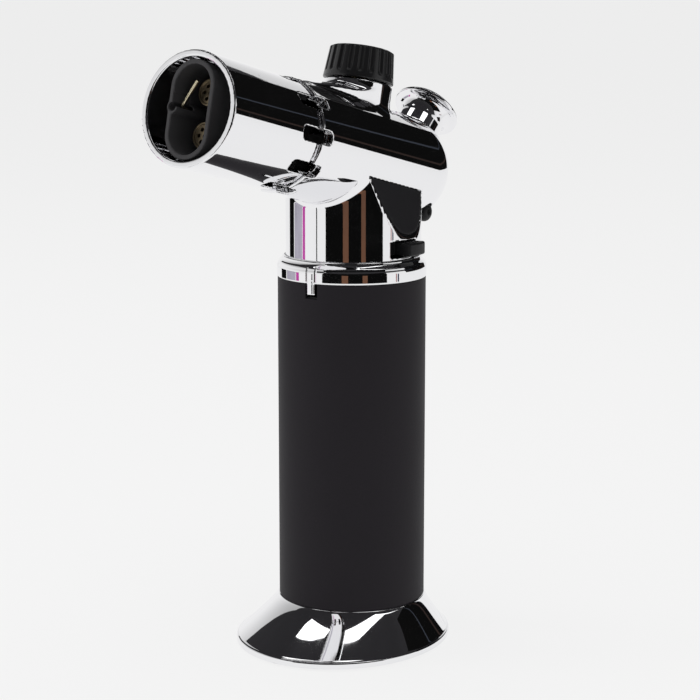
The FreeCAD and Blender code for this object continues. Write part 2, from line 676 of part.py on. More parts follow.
def flame_guard():
    """Flat-sided tube round both burners, with the spark wire's channel inside one wall."""
    past = GUARD_FRONT_S + 1
    before = GUARD_REAR_S - 1
    guard = stadium(GUARD_HALF_WIDTH, GUARD_HALF_HEIGHT, GUARD_REAR_S, GUARD_FRONT_S)
    guard = guard.cut(stadium(GUARD_HALF_WIDTH - GUARD_WALL, GUARD_HALF_HEIGHT - GUARD_WALL, before, past))
    guard = guard.fuse(rod(CHANNEL_R, GUARD_REAR_S, GUARD_FRONT_S, CHANNEL_X, CHANNEL_V))
    guard = guard.cut(rod(CHANNEL_BORE_R, before, past, CHANNEL_X, CHANNEL_V))
    guard = guard.cut(box(CHANNEL_X, -2.0, CHANNEL_V, 4.0, BURNER_FACE_S + 0.1, past))
    for v in (-12.4, 12.4):
        guard = guard.fuse(box(-1.0, 1.0, v - 0.25, v + 0.25, GUARD_REAR_S + 1, GUARD_REAR_S + 14))
    return place(guard.removeSplitter(), BARREL)


def burner_carrier():
    """Plate that holds the two mixing tubes in the guard."""
    half_width = GUARD_HALF_WIDTH - GUARD_WALL - 0.02
    half_height = GUARD_HALF_HEIGHT - GUARD_WALL - 0.02
    plate = stadium(half_width, half_height, CARRIER_S, CARRIER_S + 1.2)
    plate = plate.cut(rod(CHANNEL_R + 0.02, 40, FAR, CHANNEL_X, CHANNEL_V))
    for v in (-BURNER_V, BURNER_V):
        plate = plate.cut(rod(MIXING_R + 0.02, 40, FAR, 0, v))
    return place(plate, BARREL)


def mixing_tube(side):
    """Straight pipe with an air hole in each side, just ahead of its jet."""
    v = side * BURNER_V
    pipe = tube(MIXING_R, MIXING_BORE_R, MIXING_REAR_S, BURNER_REAR_S, 0, v)
    return place(pipe.cut(cross_rod(1.1, -6, 6, v, MIXING_REAR_S + 4.4)), BARREL)


def burner_head(side):
    """Disc with a shallow recess and a ring of gas holes round a centre one."""
    v = side * BURNER_V
    head = rod(MIXING_R, BURNER_REAR_S, BURNER_FACE_S, 0, v)
    head = head.cut(rod(2.85, BURNER_FACE_S - 0.35, 70, 0, v))
    for x, y in [(0, 0)] + on_circle(1.75, 6):
        head = head.cut(rod(0.45, 59, 70, x, y + v))
    return place(head, BARREL)


def gas_jet(side):
    """Turned jet with a hexagon-sized flange and a tapered tip inside the mixing tube's mouth."""
    jet = lathe([(JET_BORE_R, JET_S), (JET_R, JET_S), (JET_R, 30.0), (2.3, 30.0), (2.3, 31.4),
                 (JET_R, 31.4), (0.8, 33.6), (JET_BORE_R, 33.6)], 0, side * BURNER_V)
    return place(jet, BARREL)


def gas_manifold():
    """Block that splits the gas to both jets, on a strap across the barrel's bore."""
    front = JET_S + 3.0
    block = box(-4.0, 4.0, -8.6, 8.6, MANIFOLD_S, front)
    block = block.makeFillet(1.0, [e for e in block.Edges if abs(e.tangentAt(0).z) > 0.9])
    block = block.fuse(box(-11.7, 11.7, -1.6, 1.6, MANIFOLD_S, MANIFOLD_S + 1.5)).removeSplitter()
    block = block.cut(rod(PIPE_R + RUN, 20, MANIFOLD_S + 1.5, 0, PIPE_V))
    block = block.cut(rod(PIPE_BORE_R, 20, JET_S + 1, 0, PIPE_V))
    block = block.cut(Part.makeCylinder(0.9, 16.4, Vector(0, -8.2, JET_S + 1), Vector(0, 1, 0)))
    for v in (-BURNER_V, BURNER_V):
        block = block.cut(rod(JET_R, JET_S, 40, 0, v))
    return place(block, BARREL)


def gas_pipe():
    pipe = tube(PIPE_R, PIPE_BORE_R, 6.7, MANIFOLD_S + 1.5, 0, PIPE_V)
    return place(pipe, BARREL).cut(place(rod(VALVE_BLOCK_R + 0.02, -4.5, 10), DIAL))


def electrode_insulator():
    return place(tube(CHANNEL_BORE_R - RUN, 0.5, 40.0, 58.0, CHANNEL_X, CHANNEL_V), BARREL)


def electrode_wire():
    """Wire from the channel's mouth, bent across in front of the upper burner."""
    route = [(CHANNEL_X, CHANNEL_V, 38.5), (CHANNEL_X, CHANNEL_V, 60.0), (CHANNEL_X, CHANNEL_V + 0.4, 65.2),
             (-1.2, CHANNEL_V + 7.0, 65.8)]
    return place(bent_rod(route, WIRE_R, 1.2), BARREL)


def ignition_lead():
    start = BUTTON.multVec(Vector(0, -3.5, -24.0))
    out = BUTTON.multVec(Vector(0, -7.5, -24.0))
    stops = [(-2.0, -11.0, 7.0), (-6.4, -9.2, 15.0), (-8.0, -6.4, 24.0), (-7.6, -3.2, 31.0),
             (CHANNEL_X, CHANNEL_V, 36.0), (CHANNEL_X, CHANNEL_V, 38.4)]
    route = [tuple(start), tuple(out)] + [tuple(BARREL.multVec(Vector(*p))) for p in stops]
    return bent_rod(route, LEAD_R, 3.0)


SIDES = {"upper": 1, "lower": -1}
parts = {
    "foot_base": foot_base(),
    "foot_pad": tube(PAD_OUTER_R, PAD_INNER_R, 0, PAD_THICK),
    "foot_screws": foot_screws(),
    "handle_sleeve": handle_sleeve(),
    "fuel_tank": fuel_tank(),
    "tank_cap": tank_cap(),
    "wick_tube": tube(1.45, 0.9, 19.0, 91.8, 0, VALVE_Y),
    "fill_valve_body": fill_valve_body(),
    "fill_valve_stem": fill_valve_stem(),
    "fill_valve_spring": coil(1.35, 0.22, 13.15, REFILL_LIP - 0.05, 6),
    "fill_valve_seal": torus(1.58, 0.36, 11.45),
    "outlet_valve_body": outlet_valve_body(),
    "outlet_valve_stem": outlet_valve_stem(),
    "collar_ring": collar_ring(),
    "head_shell": head_shell(),
    "nozzle_tube": nozzle_tube(),
    "side_panel_left": panel_blank(1, PANEL_RIM, PANEL_THICK, 0.0),
    "side_panel_right": panel_blank(-1, PANEL_RIM, PANEL_THICK, 0.0),
    "flame_dial": flame_dial(),
    "dial_spindle": dial_spindle(),
    "spindle_seal": place(torus(2.38, 0.42, 15.0), DIAL),
    "regulator_body": regulator_body(),
    "gas_hose": gas_hose(),
    "gas_pipe": gas_pipe(),
    "gas_manifold": gas_manifold(),
    "flame_guard": flame_guard(),
    "burner_carrier": burner_carrier(),
    "electrode_insulator": electrode_insulator(),
    "electrode_wire": electrode_wire(),
    "ignition_lead": ignition_lead(),
    "ignition_button": ignition_button(),
    "button_guide": button_guide(),
    "button_spring": place(coil(3.15, 0.3, PIEZO_TOP + 0.05, SPRING_TOP - 0.05, 9), BUTTON),
    "piezo_body": piezo_body(),
    "piezo_plunger": piezo_plunger(),
    "inner_frame": inner_frame(),
    "frame_screws": frame_screws(),
    "valve_lever": valve_lever(),
    "lever_pin": cross_rod(PIN_R, -5.7, 5.7, PIVOT_Y, PIVOT_Z),
    "lock_slider": lock_slider(),
    "safety_bolt": safety_bolt(),
}
for name, side in SIDES.items():
    parts["mixing_tube_" + name] = mixing_tube(side)
    parts["burner_head_" + name] = burner_head(side)
    parts["gas_jet_" + name] = gas_jet(side)

os.makedirs("parts", exist_ok=True)
for node, shape in parts.items():
    print("%-20s solids %d valid %s volume %.1f" % (node, len(shape.Solids), shape.isValid(), shape.Volume))
    shape.exportStep("parts/%s.step" % node)
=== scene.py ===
import json
import math

import bmesh
import bpy
import numpy as np
from mathutils import Matrix, Vector


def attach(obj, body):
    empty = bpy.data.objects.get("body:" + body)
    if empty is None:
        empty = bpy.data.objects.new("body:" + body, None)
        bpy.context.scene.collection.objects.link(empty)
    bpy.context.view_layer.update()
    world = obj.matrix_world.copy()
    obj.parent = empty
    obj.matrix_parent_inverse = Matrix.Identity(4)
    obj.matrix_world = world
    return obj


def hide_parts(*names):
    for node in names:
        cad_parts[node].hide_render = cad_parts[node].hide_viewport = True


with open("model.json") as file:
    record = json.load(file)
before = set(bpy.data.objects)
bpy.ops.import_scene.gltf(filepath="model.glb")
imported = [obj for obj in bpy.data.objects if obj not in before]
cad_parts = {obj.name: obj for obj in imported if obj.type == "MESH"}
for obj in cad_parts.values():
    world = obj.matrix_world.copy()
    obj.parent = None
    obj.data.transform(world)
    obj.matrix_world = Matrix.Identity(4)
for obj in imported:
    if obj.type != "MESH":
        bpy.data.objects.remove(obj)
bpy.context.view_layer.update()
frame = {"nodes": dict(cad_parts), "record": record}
nodes = frame["nodes"]
MM = 0.001

# ---------------------------------------------------------------- studio
# A pale, evenly glowing table top under a white sky, with two soft area lights for the blacks.
# Cloths and cards stand and hang round it, seen only in the plating, and give it its dark and
# coloured bands.
camera_data = bpy.data.cameras.new("camera")
camera_data.lens = 102.86
camera_data.sensor_width = 36.0
camera_data.clip_start = 0.01
camera = bpy.data.objects.new("camera", camera_data)
bpy.context.scene.collection.objects.link(camera)
bpy.context.scene.camera = camera
camera.location = (0.30976, -0.43601, 0.17977)
camera.rotation_mode = "QUATERNION"
camera.rotation_quaternion = Vector((-0.5700, 0.8008, -0.1841)).to_track_quat("-Z", "Y")
bpy.context.scene.view_settings.view_transform = "Standard"


def new_material(name):
    """Empty node material with its output; returns the tree and the shader node."""
    material = bpy.data.materials.new(name)
    material.use_nodes = True
    tree = material.node_tree
    tree.nodes.clear()
    shader = tree.nodes.new("ShaderNodeBsdfPrincipled")
    output = tree.nodes.new("ShaderNodeOutputMaterial")
    tree.links.new(shader.outputs[0], output.inputs[0])
    return material, tree, shader


def node(tree, kind, *links, **values):
    """Adds a node, sets its properties or inputs by name, and links (input name, socket) pairs."""
    made = tree.nodes.new(kind)
    for key, value in values.items():
        if hasattr(made, key):
            setattr(made, key, value)
        else:
            made.inputs[key.replace("_", " ")].default_value = value
    for name, socket in links:
        tree.links.new(socket, made.inputs[name])
    return made


def sheet_of(name, corners, material, shown):
    """Flat stage sheet through the given corners, in metres."""
    mesh = bpy.data.meshes.new(name)
    mesh.from_pydata(corners, [], [tuple(range(len(corners)))])
    mesh.materials.append(material)
    sheet = bpy.data.objects.new(name, mesh)
    bpy.context.scene.collection.objects.link(sheet)
    sheet.visible_camera = shown
    sheet.visible_diffuse = shown
    sheet.visible_shadow = shown


table_top, tree, shader = new_material("pale table")
mottle = node(tree, "ShaderNodeTexNoise", Scale=3.0, Detail=2.0)
tone = node(tree, "ShaderNodeMix", ("Factor", mottle.outputs["Fac"]), data_type="RGBA")
TABLE_DARK, TABLE_PALE, TABLE_GLOW = 0.130, 0.136, 0.78
tone.inputs["A"].default_value = (TABLE_DARK, TABLE_DARK, TABLE_DARK, 1)
tone.inputs["B"].default_value = (TABLE_PALE, TABLE_PALE, TABLE_PALE, 1)
tree.links.new(tone.outputs["Result"], shader.inputs["Base Color"])
shader.inputs["Emission Color"].default_value = (1.0, 1.0, 1.0, 1)
shader.inputs["Emission Strength"].default_value = TABLE_GLOW
shader.inputs["Roughness"].default_value = 0.8
shader.inputs["Specular IOR Level"].default_value = 0.0
FLOOR, FLOOR_Z = 30.0, -0.0002
sheet_of("table", [(x * FLOOR, y * FLOOR, FLOOR_Z) for x, y in ((-1, -1), (1, -1), (1, 1), (-1, 1))],
         table_top, True)

cloth, tree, shader = new_material("black cloth")
shader.inputs["Base Color"].default_value = (0.004, 0.004, 0.004, 1)
shader.inputs["Roughness"].default_value = 1.0
shader.inputs["Specular IOR Level"].default_value = 0.0


def round_the_table(name, turn, radii, heights, material):
    """Stage strip that follows an arc about the torch, between two (radius, height) edges."""
    steps = 24
    angles = [math.radians(turn[0] + (turn[1] - turn[0]) * i / steps) for i in range(steps + 1)]
    corners = [(radius * math.cos(a), radius * math.sin(a), height)
               for radius, height in zip(radii, heights) for a in angles]
    row = steps + 1
    faces = [(i, i + 1, row + i + 1, row + i) for i in range(steps)]
    mesh = bpy.data.meshes.new(name)
    mesh.from_pydata(corners, [], faces)
    mesh.materials.append(material)
    strip = bpy.data.objects.new(name, mesh)
    bpy.context.scene.collection.objects.link(strip)
    strip.visible_camera = False
    strip.visible_diffuse = False
    strip.visible_shadow = False


def coloured_card(name, colour):
    """Matte card with a faintly uneven colour."""
    material, tree, shader = new_material(name)
    fade = node(tree, "ShaderNodeTexNoise", Scale=14.0, Detail=3.0)
    mix = node(tree, "ShaderNodeMix", ("Factor", fade.outputs["Fac"]), data_type="RGBA")
    mix.inputs["A"].default_value = (*colour, 1)
    mix.inputs["B"].default_value = (*(0.6 * c for c in colour), 1)
    tree.links.new(mix.outputs["Result"], shader.inputs["Base Color"])
    shader.inputs["Roughness"].default_value = 1.0
    return material


blue_grey = coloured_card("blue grey card", (0.03, 0.036, 0.05))
umber = coloured_card("umber card", (0.026, 0.014, 0.011))
wood = coloured_card("warm wood", (0.22, 0.085, 0.035))
lilac = coloured_card("lilac card", (0.50, 0.47, 0.56))
pink = coloured_card("pink card", (0.62, 0.05, 0.42))
red = coloured_card("red card", (0.45, 0.04, 0.03))
navy = coloured_card("navy card", (0.01, 0.02, 0.09))
for card in (("front_cloth", (-100, 0), (0.40, 1.3), (0.002, 0.002), cloth),
             ("front_wall", (-100, 0), (1.3, 1.3), (0.0, 0.75), cloth),
             ("rear_cloth", (35, 95), (0.62, 0.62), (0.078, 0.60), cloth),
             ("rear_blue", (35, 95), (0.615, 0.615), (0.288, 0.302), blue_grey),
             ("rear_umber", (35, 95), (0.615, 0.615), (0.135, 0.155), umber),
             ("side_cloth", (170, 187), (0.4, 3.0), (0.002, 0.002), cloth),
             ("thin_line", (-118, -116), (0.3, 3.0), (0.003, 0.003), cloth),
             ("wood_left", (-69.5, -60), (0.40, 1.3), (0.004, 0.004), wood),
             ("wood_right", (-38.5, -31), (0.40, 1.3), (0.004, 0.004), wood),
             ("lilac", (-171, -149), (0.4, 3.0), (0.003, 0.003), lilac),
             ("pink", (-148, -142), (0.4, 3.0), (0.003, 0.003), pink),
             ("red_line", (15.6, 17.2), (0.4, 3.0), (0.003, 0.003), red),
             ("navy_line", (18.8, 21.5), (0.4, 1.2), (0.003, 0.003), navy)):
    round_the_table(*card)

world = bpy.data.worlds.new("studio")
bpy.context.scene.world = world
world.use_nodes = True
sky = world.node_tree.nodes["Background"]
heading = node(world.node_tree, "ShaderNodeTexCoord")
rise = node(world.node_tree, "ShaderNodeSeparateXYZ", ("Vector", heading.outputs["Generated"]))
dome = node(world.node_tree, "ShaderNodeMapRange", ("Value", rise.outputs["Z"]), From_Min=0.05,
            From_Max=0.75, To_Min=0.90, To_Max=0.42, interpolation_type="SMOOTHSTEP")
world.node_tree.links.new(dome.outputs[0], sky.inputs["Color"])
sky.inputs["Strength"].default_value = 1.0


def softbox(name, place, aim, width, height, watts):
    """Area light that lights the matte parts but isn't mirrored in the plating."""
    light = bpy.data.lights.new(name, "AREA")
    light.shape = "RECTANGLE"
    light.size = width
    light.size_y = height
    light.energy = watts
    lamp = bpy.data.objects.new(name, light)
    bpy.context.scene.collection.objects.link(lamp)
    lamp.location = place
    lamp.visible_glossy = False
    lamp.rotation_mode = "QUATERNION"
    lamp.rotation_quaternion = (Vector(aim) - Vector(place)).to_track_quat("-Z", "Y")


softbox("overhead", (0.05, -0.15, 1.2), (0, 0, 0.1), 1.3, 1.3, 8.0)
softbox("left_box", (-0.9, -0.5, 0.6), (0, 0, 0.1), 0.35, 0.6, 2.0)


def hang(name, height, corners, material):
    """Flat card hung over the table at one height, seen only in the plating."""
    sheet_of(name, [(x, y, height) for x, y in corners], material, False)


lamp_glow, tree, shader = new_material("strip lamp glow")
shader.inputs["Base Color"].default_value = (0.8, 0.8, 0.8, 1)
shader.inputs["Emission Color"].default_value = (1.0, 1.0, 1.0, 1)
shader.inputs["Emission Strength"].default_value = 1.1
charcoal = coloured_card("charcoal cloth", (0.016, 0.015, 0.018))
hang("ceiling_cloth", 1.30, [(-1.0, -2.6), (2.6, -2.6), (3.0, 2.4), (-3.9, 2.4), (-1.35, -0.15)], charcoal)
hang("strip_lamp_left", 1.2, [(-0.73, 0.05), (-0.69, -0.06), (-0.60, -0.18), (-0.20, -0.09), (-0.26, -0.03)],
     lamp_glow)
hang("strip_lamp_right", 1.2, [(-0.20, 0.03), (-0.09, -0.05), (0.84, -0.05), (1.75, 1.0), (1.0, 0.23),
                               (0.47, 0.12), (0.22, 0.10), (0.01, 0.04)], lamp_glow)


# ---------------------------------------------------------------- foot
# Oval zinc casting, flared from a thin rim up to the handle and chrome plated.  A rubber ring
# pressed into its underside grips the bench, and three cross-head screws hold it to the tank.
def effect(name, sockets_in, sockets_out):
    """New shader group with float inputs {name: default} and outputs; returns tree, in and out."""
    group = bpy.data.node_groups.new(name, "ShaderNodeTree")
    for key, value in sockets_in.items():
        socket = group.interface.new_socket(key, in_out="INPUT", socket_type="NodeSocketFloat")
        socket.default_value = value
    for key in sockets_out:
        group.interface.new_socket(key, in_out="OUTPUT", socket_type="NodeSocketFloat")
    return group, group.nodes.new("NodeGroupInput"), group.nodes.new("NodeGroupOutput")


# Faint smears and specks that handling leaves on plating, and the plating's own slow ripple.
handling, g_in, g_out = effect("handling marks", {"Scale": 90.0}, ("Haze", "Ripple"))
spot = handling.nodes.new("ShaderNodeTexCoord").outputs["Object"]
clouds = node(handling, "ShaderNodeTexNoise", ("Vector", spot), ("Scale", g_in.outputs["Scale"]),
              noise_dimensions="4D", W=0.0, Detail=4.0, Roughness=0.6)
streaks = node(handling, "ShaderNodeTexNoise", ("Vector", spot), Scale=1400.0, Detail=3.0)
patch = node(handling, "ShaderNodeMapRange", ("Value", clouds.outputs["Fac"]),
             From_Min=0.5, From_Max=0.75)
speck = node(handling, "ShaderNodeMapRange", ("Value", streaks.outputs["Fac"]),
             From_Min=0.66, From_Max=0.76)
haze = node(handling, "ShaderNodeMath", (0, patch.outputs[0]), (1, speck.outputs[0]),
            operation="MAXIMUM")
wave = node(handling, "ShaderNodeTexNoise", ("Vector", spot), Scale=160.0, Detail=2.0)
handling.links.new(haze.outputs[0], g_out.inputs["Haze"])
handling.links.new(wave.outputs["Fac"], g_out.inputs["Ripple"])

# Fine cells of a moulded or sprayed skin, and its slow change of tone.
moulded, g_in, g_out = effect("moulded skin", {"Scale": 2600.0}, ("Height", "Tone"))
spot = moulded.nodes.new("ShaderNodeTexCoord").outputs["Object"]
grain = node(moulded, "ShaderNodeTexNoise", ("Vector", spot), ("Scale", g_in.outputs["Scale"]),
             Detail=3.0)
cells = node(moulded, "ShaderNodeTexVoronoi", ("Vector", spot), ("Scale", g_in.outputs["Scale"]))
height = node(moulded, "ShaderNodeMath", (0, grain.outputs["Fac"]), (1, cells.outputs["Distance"]),
              operation="ADD")
broad = node(moulded, "ShaderNodeTexNoise", ("Vector", spot), Scale=45.0, Detail=5.0)
moulded.links.new(height.outputs[0], g_out.inputs["Height"])
moulded.links.new(broad.outputs["Fac"], g_out.inputs["Tone"])

# Broken wear along raised edges; on the dial the same mask also places a painted highlight.
rubbed, g_in, g_out = effect("rubbed edges", {"Start": 0.53, "Full": 0.62}, ("Rub",))
shape = rubbed.nodes.new("ShaderNodeNewGeometry")
ridge = node(rubbed, "ShaderNodeMapRange", ("Value", shape.outputs["Pointiness"]),
             ("From Min", g_in.outputs["Start"]), ("From Max", g_in.outputs["Full"]))
spot = rubbed.nodes.new("ShaderNodeTexCoord").outputs["Object"]
broken = node(rubbed, "ShaderNodeTexNoise", ("Vector", spot), Scale=600.0, Detail=4.0)
rub = node(rubbed, "ShaderNodeMath", (0, ridge.outputs[0]), (1, broken.outputs["Fac"]),
           operation="MULTIPLY")
rubbed.links.new(rub.outputs[0], g_out.inputs["Rub"])

# Drawn-out tool lines and stains of bare metal.
machined, g_in, g_out = effect("machined lines", {"Scale": 900.0}, ("Line", "Tone"))
spot = machined.nodes.new("ShaderNodeTexCoord").outputs["Object"]
pull = node(machined, "ShaderNodeMapping", ("Vector", spot), vector_type="POINT")
pull.inputs["Scale"].default_value = (1.0, 0.08, 1.0)
lines = node(machined, "ShaderNodeTexNoise", ("Vector", pull.outputs[0]),
             ("Scale", g_in.outputs["Scale"]), Detail=4.0)
stain = node(machined, "ShaderNodeTexNoise", ("Vector", spot), Scale=120.0, Detail=4.0)
machined.links.new(lines.outputs["Fac"], g_out.inputs["Line"])
machined.links.new(stain.outputs["Fac"], g_out.inputs["Tone"])


def place_group(tree, group, **values):
    """Puts an effect group into a material, with its inputs set by name."""
    made = node(tree, "ShaderNodeGroup", node_tree=group)
    for key, value in values.items():
        made.inputs[key].default_value = value
    return made


def blend_colours(tree, mask, low, high):
    """Colour that runs from `low` to `high` with the mask."""
    mix = node(tree, "ShaderNodeMix", ("Factor", mask), data_type="RGBA")
    mix.inputs["A"].default_value = (*low, 1)
    mix.inputs["B"].default_value = (*high, 1)
    return mix.outputs["Result"]


def spread(tree, mask, low, high):
    """Value that runs from `low` to `high` with the mask."""
    return node(tree, "ShaderNodeMapRange", ("Value", mask), To_Min=low, To_Max=high).outputs[0]


def raise_surface(tree, shader, height, strength, distance):
    """Bumps the shader's surface by a height."""
    bump = node(tree, "ShaderNodeBump", ("Height", height), Strength=strength, Distance=distance)
    tree.links.new(bump.outputs[0], shader.inputs["Normal"])


def plated(name, colour, rough, hazed):
    """Mirror plating: faint handling haze, and the slight ripple that plating keeps."""
    material, tree, shader = new_material(name)
    marks = place_group(tree, handling)
    worn = place_group(tree, rubbed)
    tone = blend_colours(tree, worn.outputs["Rub"], colour, tuple(0.82 * c for c in colour))
    tree.links.new(tone, shader.inputs["Base Color"])
    tree.links.new(spread(tree, marks.outputs["Haze"], rough, hazed), shader.inputs["Roughness"])
    shader.inputs["Metallic"].default_value = 1.0
    raise_surface(tree, shader, marks.outputs["Ripple"], 0.06, 0.00012)
    return material


def plastic(name, colour, edge_wear_and_sheen_colour, rough, skin, depth, coat=0.0, gloss=0.3):
    """Moulded plastic or rubber: fine skin texture, uneven tone, and an edge colour on raised edges that
    shows rubbed wear, and on the dial also a painted highlight.
    """
    material, tree, shader = new_material(name)
    skin_marks = place_group(tree, moulded, Scale=skin)
    worn = place_group(tree, rubbed)
    base = blend_colours(tree, skin_marks.outputs["Tone"], colour, tuple(1.25 * c for c in colour))
    # Raised edges take the edge colour: rubbed wear, and on the dial also a painted highlight.
    edge = node(tree, "ShaderNodeMix", ("Factor", worn.outputs["Rub"]), ("A", base), data_type="RGBA")
    edge.inputs["B"].default_value = (*edge_wear_and_sheen_colour, 1)
    tree.links.new(edge.outputs["Result"], shader.inputs["Base Color"])
    tree.links.new(spread(tree, skin_marks.outputs["Tone"], rough - 0.06, rough + 0.06),
                   shader.inputs["Roughness"])
    shader.inputs["Coat Weight"].default_value = coat
    shader.inputs["Specular IOR Level"].default_value = gloss
    raise_surface(tree, shader, skin_marks.outputs["Height"], 0.5, depth)
    return material


def bare_metal(name, colour, dull, rough, metallic=1.0):
    """Turned or drawn metal: fine tool lines and a slightly stained tone."""
    material, tree, shader = new_material(name)
    tool = place_group(tree, machined)
    tone = blend_colours(tree, tool.outputs["Tone"], dull, colour)
    tree.links.new(tone, shader.inputs["Base Color"])
    tree.links.new(spread(tree, tool.outputs["Line"], rough - 0.08, rough + 0.12),
                   shader.inputs["Roughness"])
    shader.inputs["Metallic"].default_value = metallic
    raise_surface(tree, shader, tool.outputs["Line"], 0.2, 0.00005)
    return material


chrome = plated("chrome plate", (0.90, 0.90, 0.915), 0.025, 0.07)


def ringed(points, closed):
    """Faces of a grid of rings; `closed` joins the last ring back to the first."""
    rings, around = points.shape[:2]
    flat = points.reshape(-1, 3)
    faces = []
    for i in range(rings if closed else rings - 1):
        low = i * around
        high = (i + 1) % rings * around
        for j in range(around):
            k = (j + 1) % around
            faces.append((low + j, low + k, high + k, high + j))
    if not closed:
        faces.append(tuple(reversed(range(around))))
        faces.append(tuple(range((rings - 1) * around, rings * around)))
    return flat, faces


def shell(name, points, faces, material, place=Matrix.Identity(4)):
    """Mesh object from millimetre points, with merged doubles and outward faces."""
    mesh = bpy.data.meshes.new(name)
    mesh.from_pydata([place @ Vector(p) * MM for p in points], [], faces)
    work = bmesh.new()
    work.from_mesh(mesh)
    bmesh.ops.remove_doubles(work, verts=work.verts, dist=2e-6)
    bmesh.ops.dissolve_degenerate(work, dist=1e-7, edges=work.edges)
    bmesh.ops.recalc_face_normals(work, faces=work.faces)
    work.to_mesh(mesh)
    work.free()
    mesh.shade_smooth()
    mesh.materials.append(material)
    piece = bpy.data.objects.new(name, mesh)
    bpy.context.scene.collection.objects.link(piece)
    even = piece.modifiers.new("even shading", "WEIGHTED_NORMAL")
    even.keep_sharp = True
    even.weight = 100
    return piece


def eased(corners, steps=6):
    """Profile with arcs at its corners, from (radius, height, fillet) corners of a closed outline."""
    profile = []
    count = len(corners)
    for i, (r, z, fillet) in enumerate(corners):
        here = Vector((r, z))
        if fillet == 0:
            profile.append((r, z))
            continue
        before = (Vector(corners[i - 1][:2]) - here).normalized()
        after = (Vector(corners[(i + 1) % count][:2]) - here).normalized()
        half = before.angle(after) / 2
        reach = fillet / math.tan(half)
        start = here + before * reach
        end = here + after * reach
        centre = here + (before + after).normalized() * (fillet / math.sin(half))
        first = start - centre
        sweep = first.angle_signed(end - centre)
        for k in range(steps + 1):
            a = -sweep * k / steps
            turned = Vector((first.x * math.cos(a) - first.y * math.sin(a),
                             first.x * math.sin(a) + first.y * math.cos(a)))
            profile.append(tuple(centre + turned))
    return profile


def turned(name, corners, material, place=Matrix.Identity(4), around=192, closed=True):
    """Piece turned on the local z axis from an eased profile."""
    profile = eased(corners)
    angles = np.linspace(0, 2 * math.pi, around, endpoint=False)
    rings = np.array([[(r * math.cos(a), r * math.sin(a), z) for a in angles] for r, z in profile])
    return shell(name, *ringed(rings, closed), material, place)


# Half sizes of the oval rim and how far it sits back; the flare; the hub, hollow and pad groove.
FOOT_LENGTH, FOOT_WIDTH, FOOT_BACK = 31.5, 28.2, -4.0
FLARE_R, FLARE_LOW, FLARE_TOP, FLARE_INSET = 20.2, 2.35, 11.8, 0.7
FLARE_CURVE, FLARE_STEPS = 1.2, 48
RIM_TOP, UNDERSIDE, HUB_R, HOLLOW_R, ROOF = 2.2, 0.3, 6.0, 16.0, 9.0
GROOVE_IN, GROOVE_OUT, GROOVE_ROOF = 17.9, 24.1, 1.2
EASE = 0.2


def foot_ring(half_x, half_y, shift, height, around=256):
    """Level oval ring of points, shifted along y."""
    angles = np.linspace(0, 2 * math.pi, around, endpoint=False)
    return [(half_x * math.cos(a), shift + half_y * math.sin(a), height) for a in angles]


rings = [foot_ring(r, r, 0, z) for r, z in (
    (HUB_R, ROOF), (HUB_R, FLARE_TOP - 0.5), (HUB_R + 0.4, FLARE_TOP), (FLARE_R - 0.5, FLARE_TOP))]
for i in range(FLARE_STEPS, -1, -1):
    t = i / FLARE_STEPS
    lift = (1 - t) ** FLARE_CURVE
    rings.append(foot_ring(FLARE_R + (FOOT_WIDTH - FLARE_INSET - FLARE_R) * lift,
                           FLARE_R + (FOOT_LENGTH - FLARE_INSET - FLARE_R) * lift,
                           FOOT_BACK * lift, FLARE_LOW + (FLARE_TOP - FLARE_LOW) * t))
rim = eased([(-1.2, RIM_TOP, 0), (0, RIM_TOP, 0.55), (0, UNDERSIDE, 0.5), (-4, UNDERSIDE, 0)], 5)
for r, z in rim[1:-1]:
    rings.append(foot_ring(FOOT_WIDTH + r, FOOT_LENGTH + r, FOOT_BACK, z))
rings += [foot_ring(r, r, 0, z) for r, z in (
    (GROOVE_OUT + EASE, UNDERSIDE), (GROOVE_OUT, UNDERSIDE + EASE), (GROOVE_OUT, GROOVE_ROOF),
    (GROOVE_IN, GROOVE_ROOF), (GROOVE_IN, UNDERSIDE + EASE), (GROOVE_IN - EASE, UNDERSIDE),
    (HOLLOW_R + 0.3, UNDERSIDE), (HOLLOW_R, UNDERSIDE + 0.3), (HOLLOW_R, ROOF - EASE),
    (HOLLOW_R - EASE, ROOF))]
foot = shell("foot", *ringed(np.array(rings), True), chrome)
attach(foot, "torch_body")
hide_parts("foot_base")

black_rubber = plastic("black rubber", (0.022, 0.022, 0.022), (0.05, 0.05, 0.05), 0.8, 1800.0,
                       0.00004)
PAD_IN, PAD_OUT = 18.0, 24.0
pad = turned("foot_ring_pad", [(PAD_IN, 0.0, 0.3), (PAD_OUT, 0.0, 0.3), (PAD_OUT, GROOVE_ROOF, 0.1),
                               (PAD_IN, GROOVE_ROOF, 0.1)], black_rubber)
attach(pad, "torch_body")
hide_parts("foot_pad")

steel = bare_metal("machined steel", (0.62, 0.62, 0.64), (0.42, 0.42, 0.44), 0.3)


def grow(name, source, tree, values, material):
    """Runs a geometry tree on a mesh or curve, with inputs by name, and keeps the plain mesh."""
    modifier = source.modifiers.new(name, "NODES")
    modifier.node_group = tree
    for item in tree.interface.items_tree:
        if item.item_type == "SOCKET" and item.in_out == "INPUT" and item.name in values:
            modifier[item.identifier] = values[item.name]
        if item.item_type == "SOCKET" and item.in_out == "INPUT" and item.name == "Finish":
            modifier[item.identifier] = material
    bpy.context.view_layer.update()
    evaluated = source.evaluated_get(bpy.context.evaluated_depsgraph_get())
    mesh = bpy.data.meshes.new_from_object(evaluated)
    mesh.name = name
    bpy.data.objects.remove(source)
    piece = bpy.data.objects.new(name, mesh)
    bpy.context.scene.collection.objects.link(piece)
    return piece


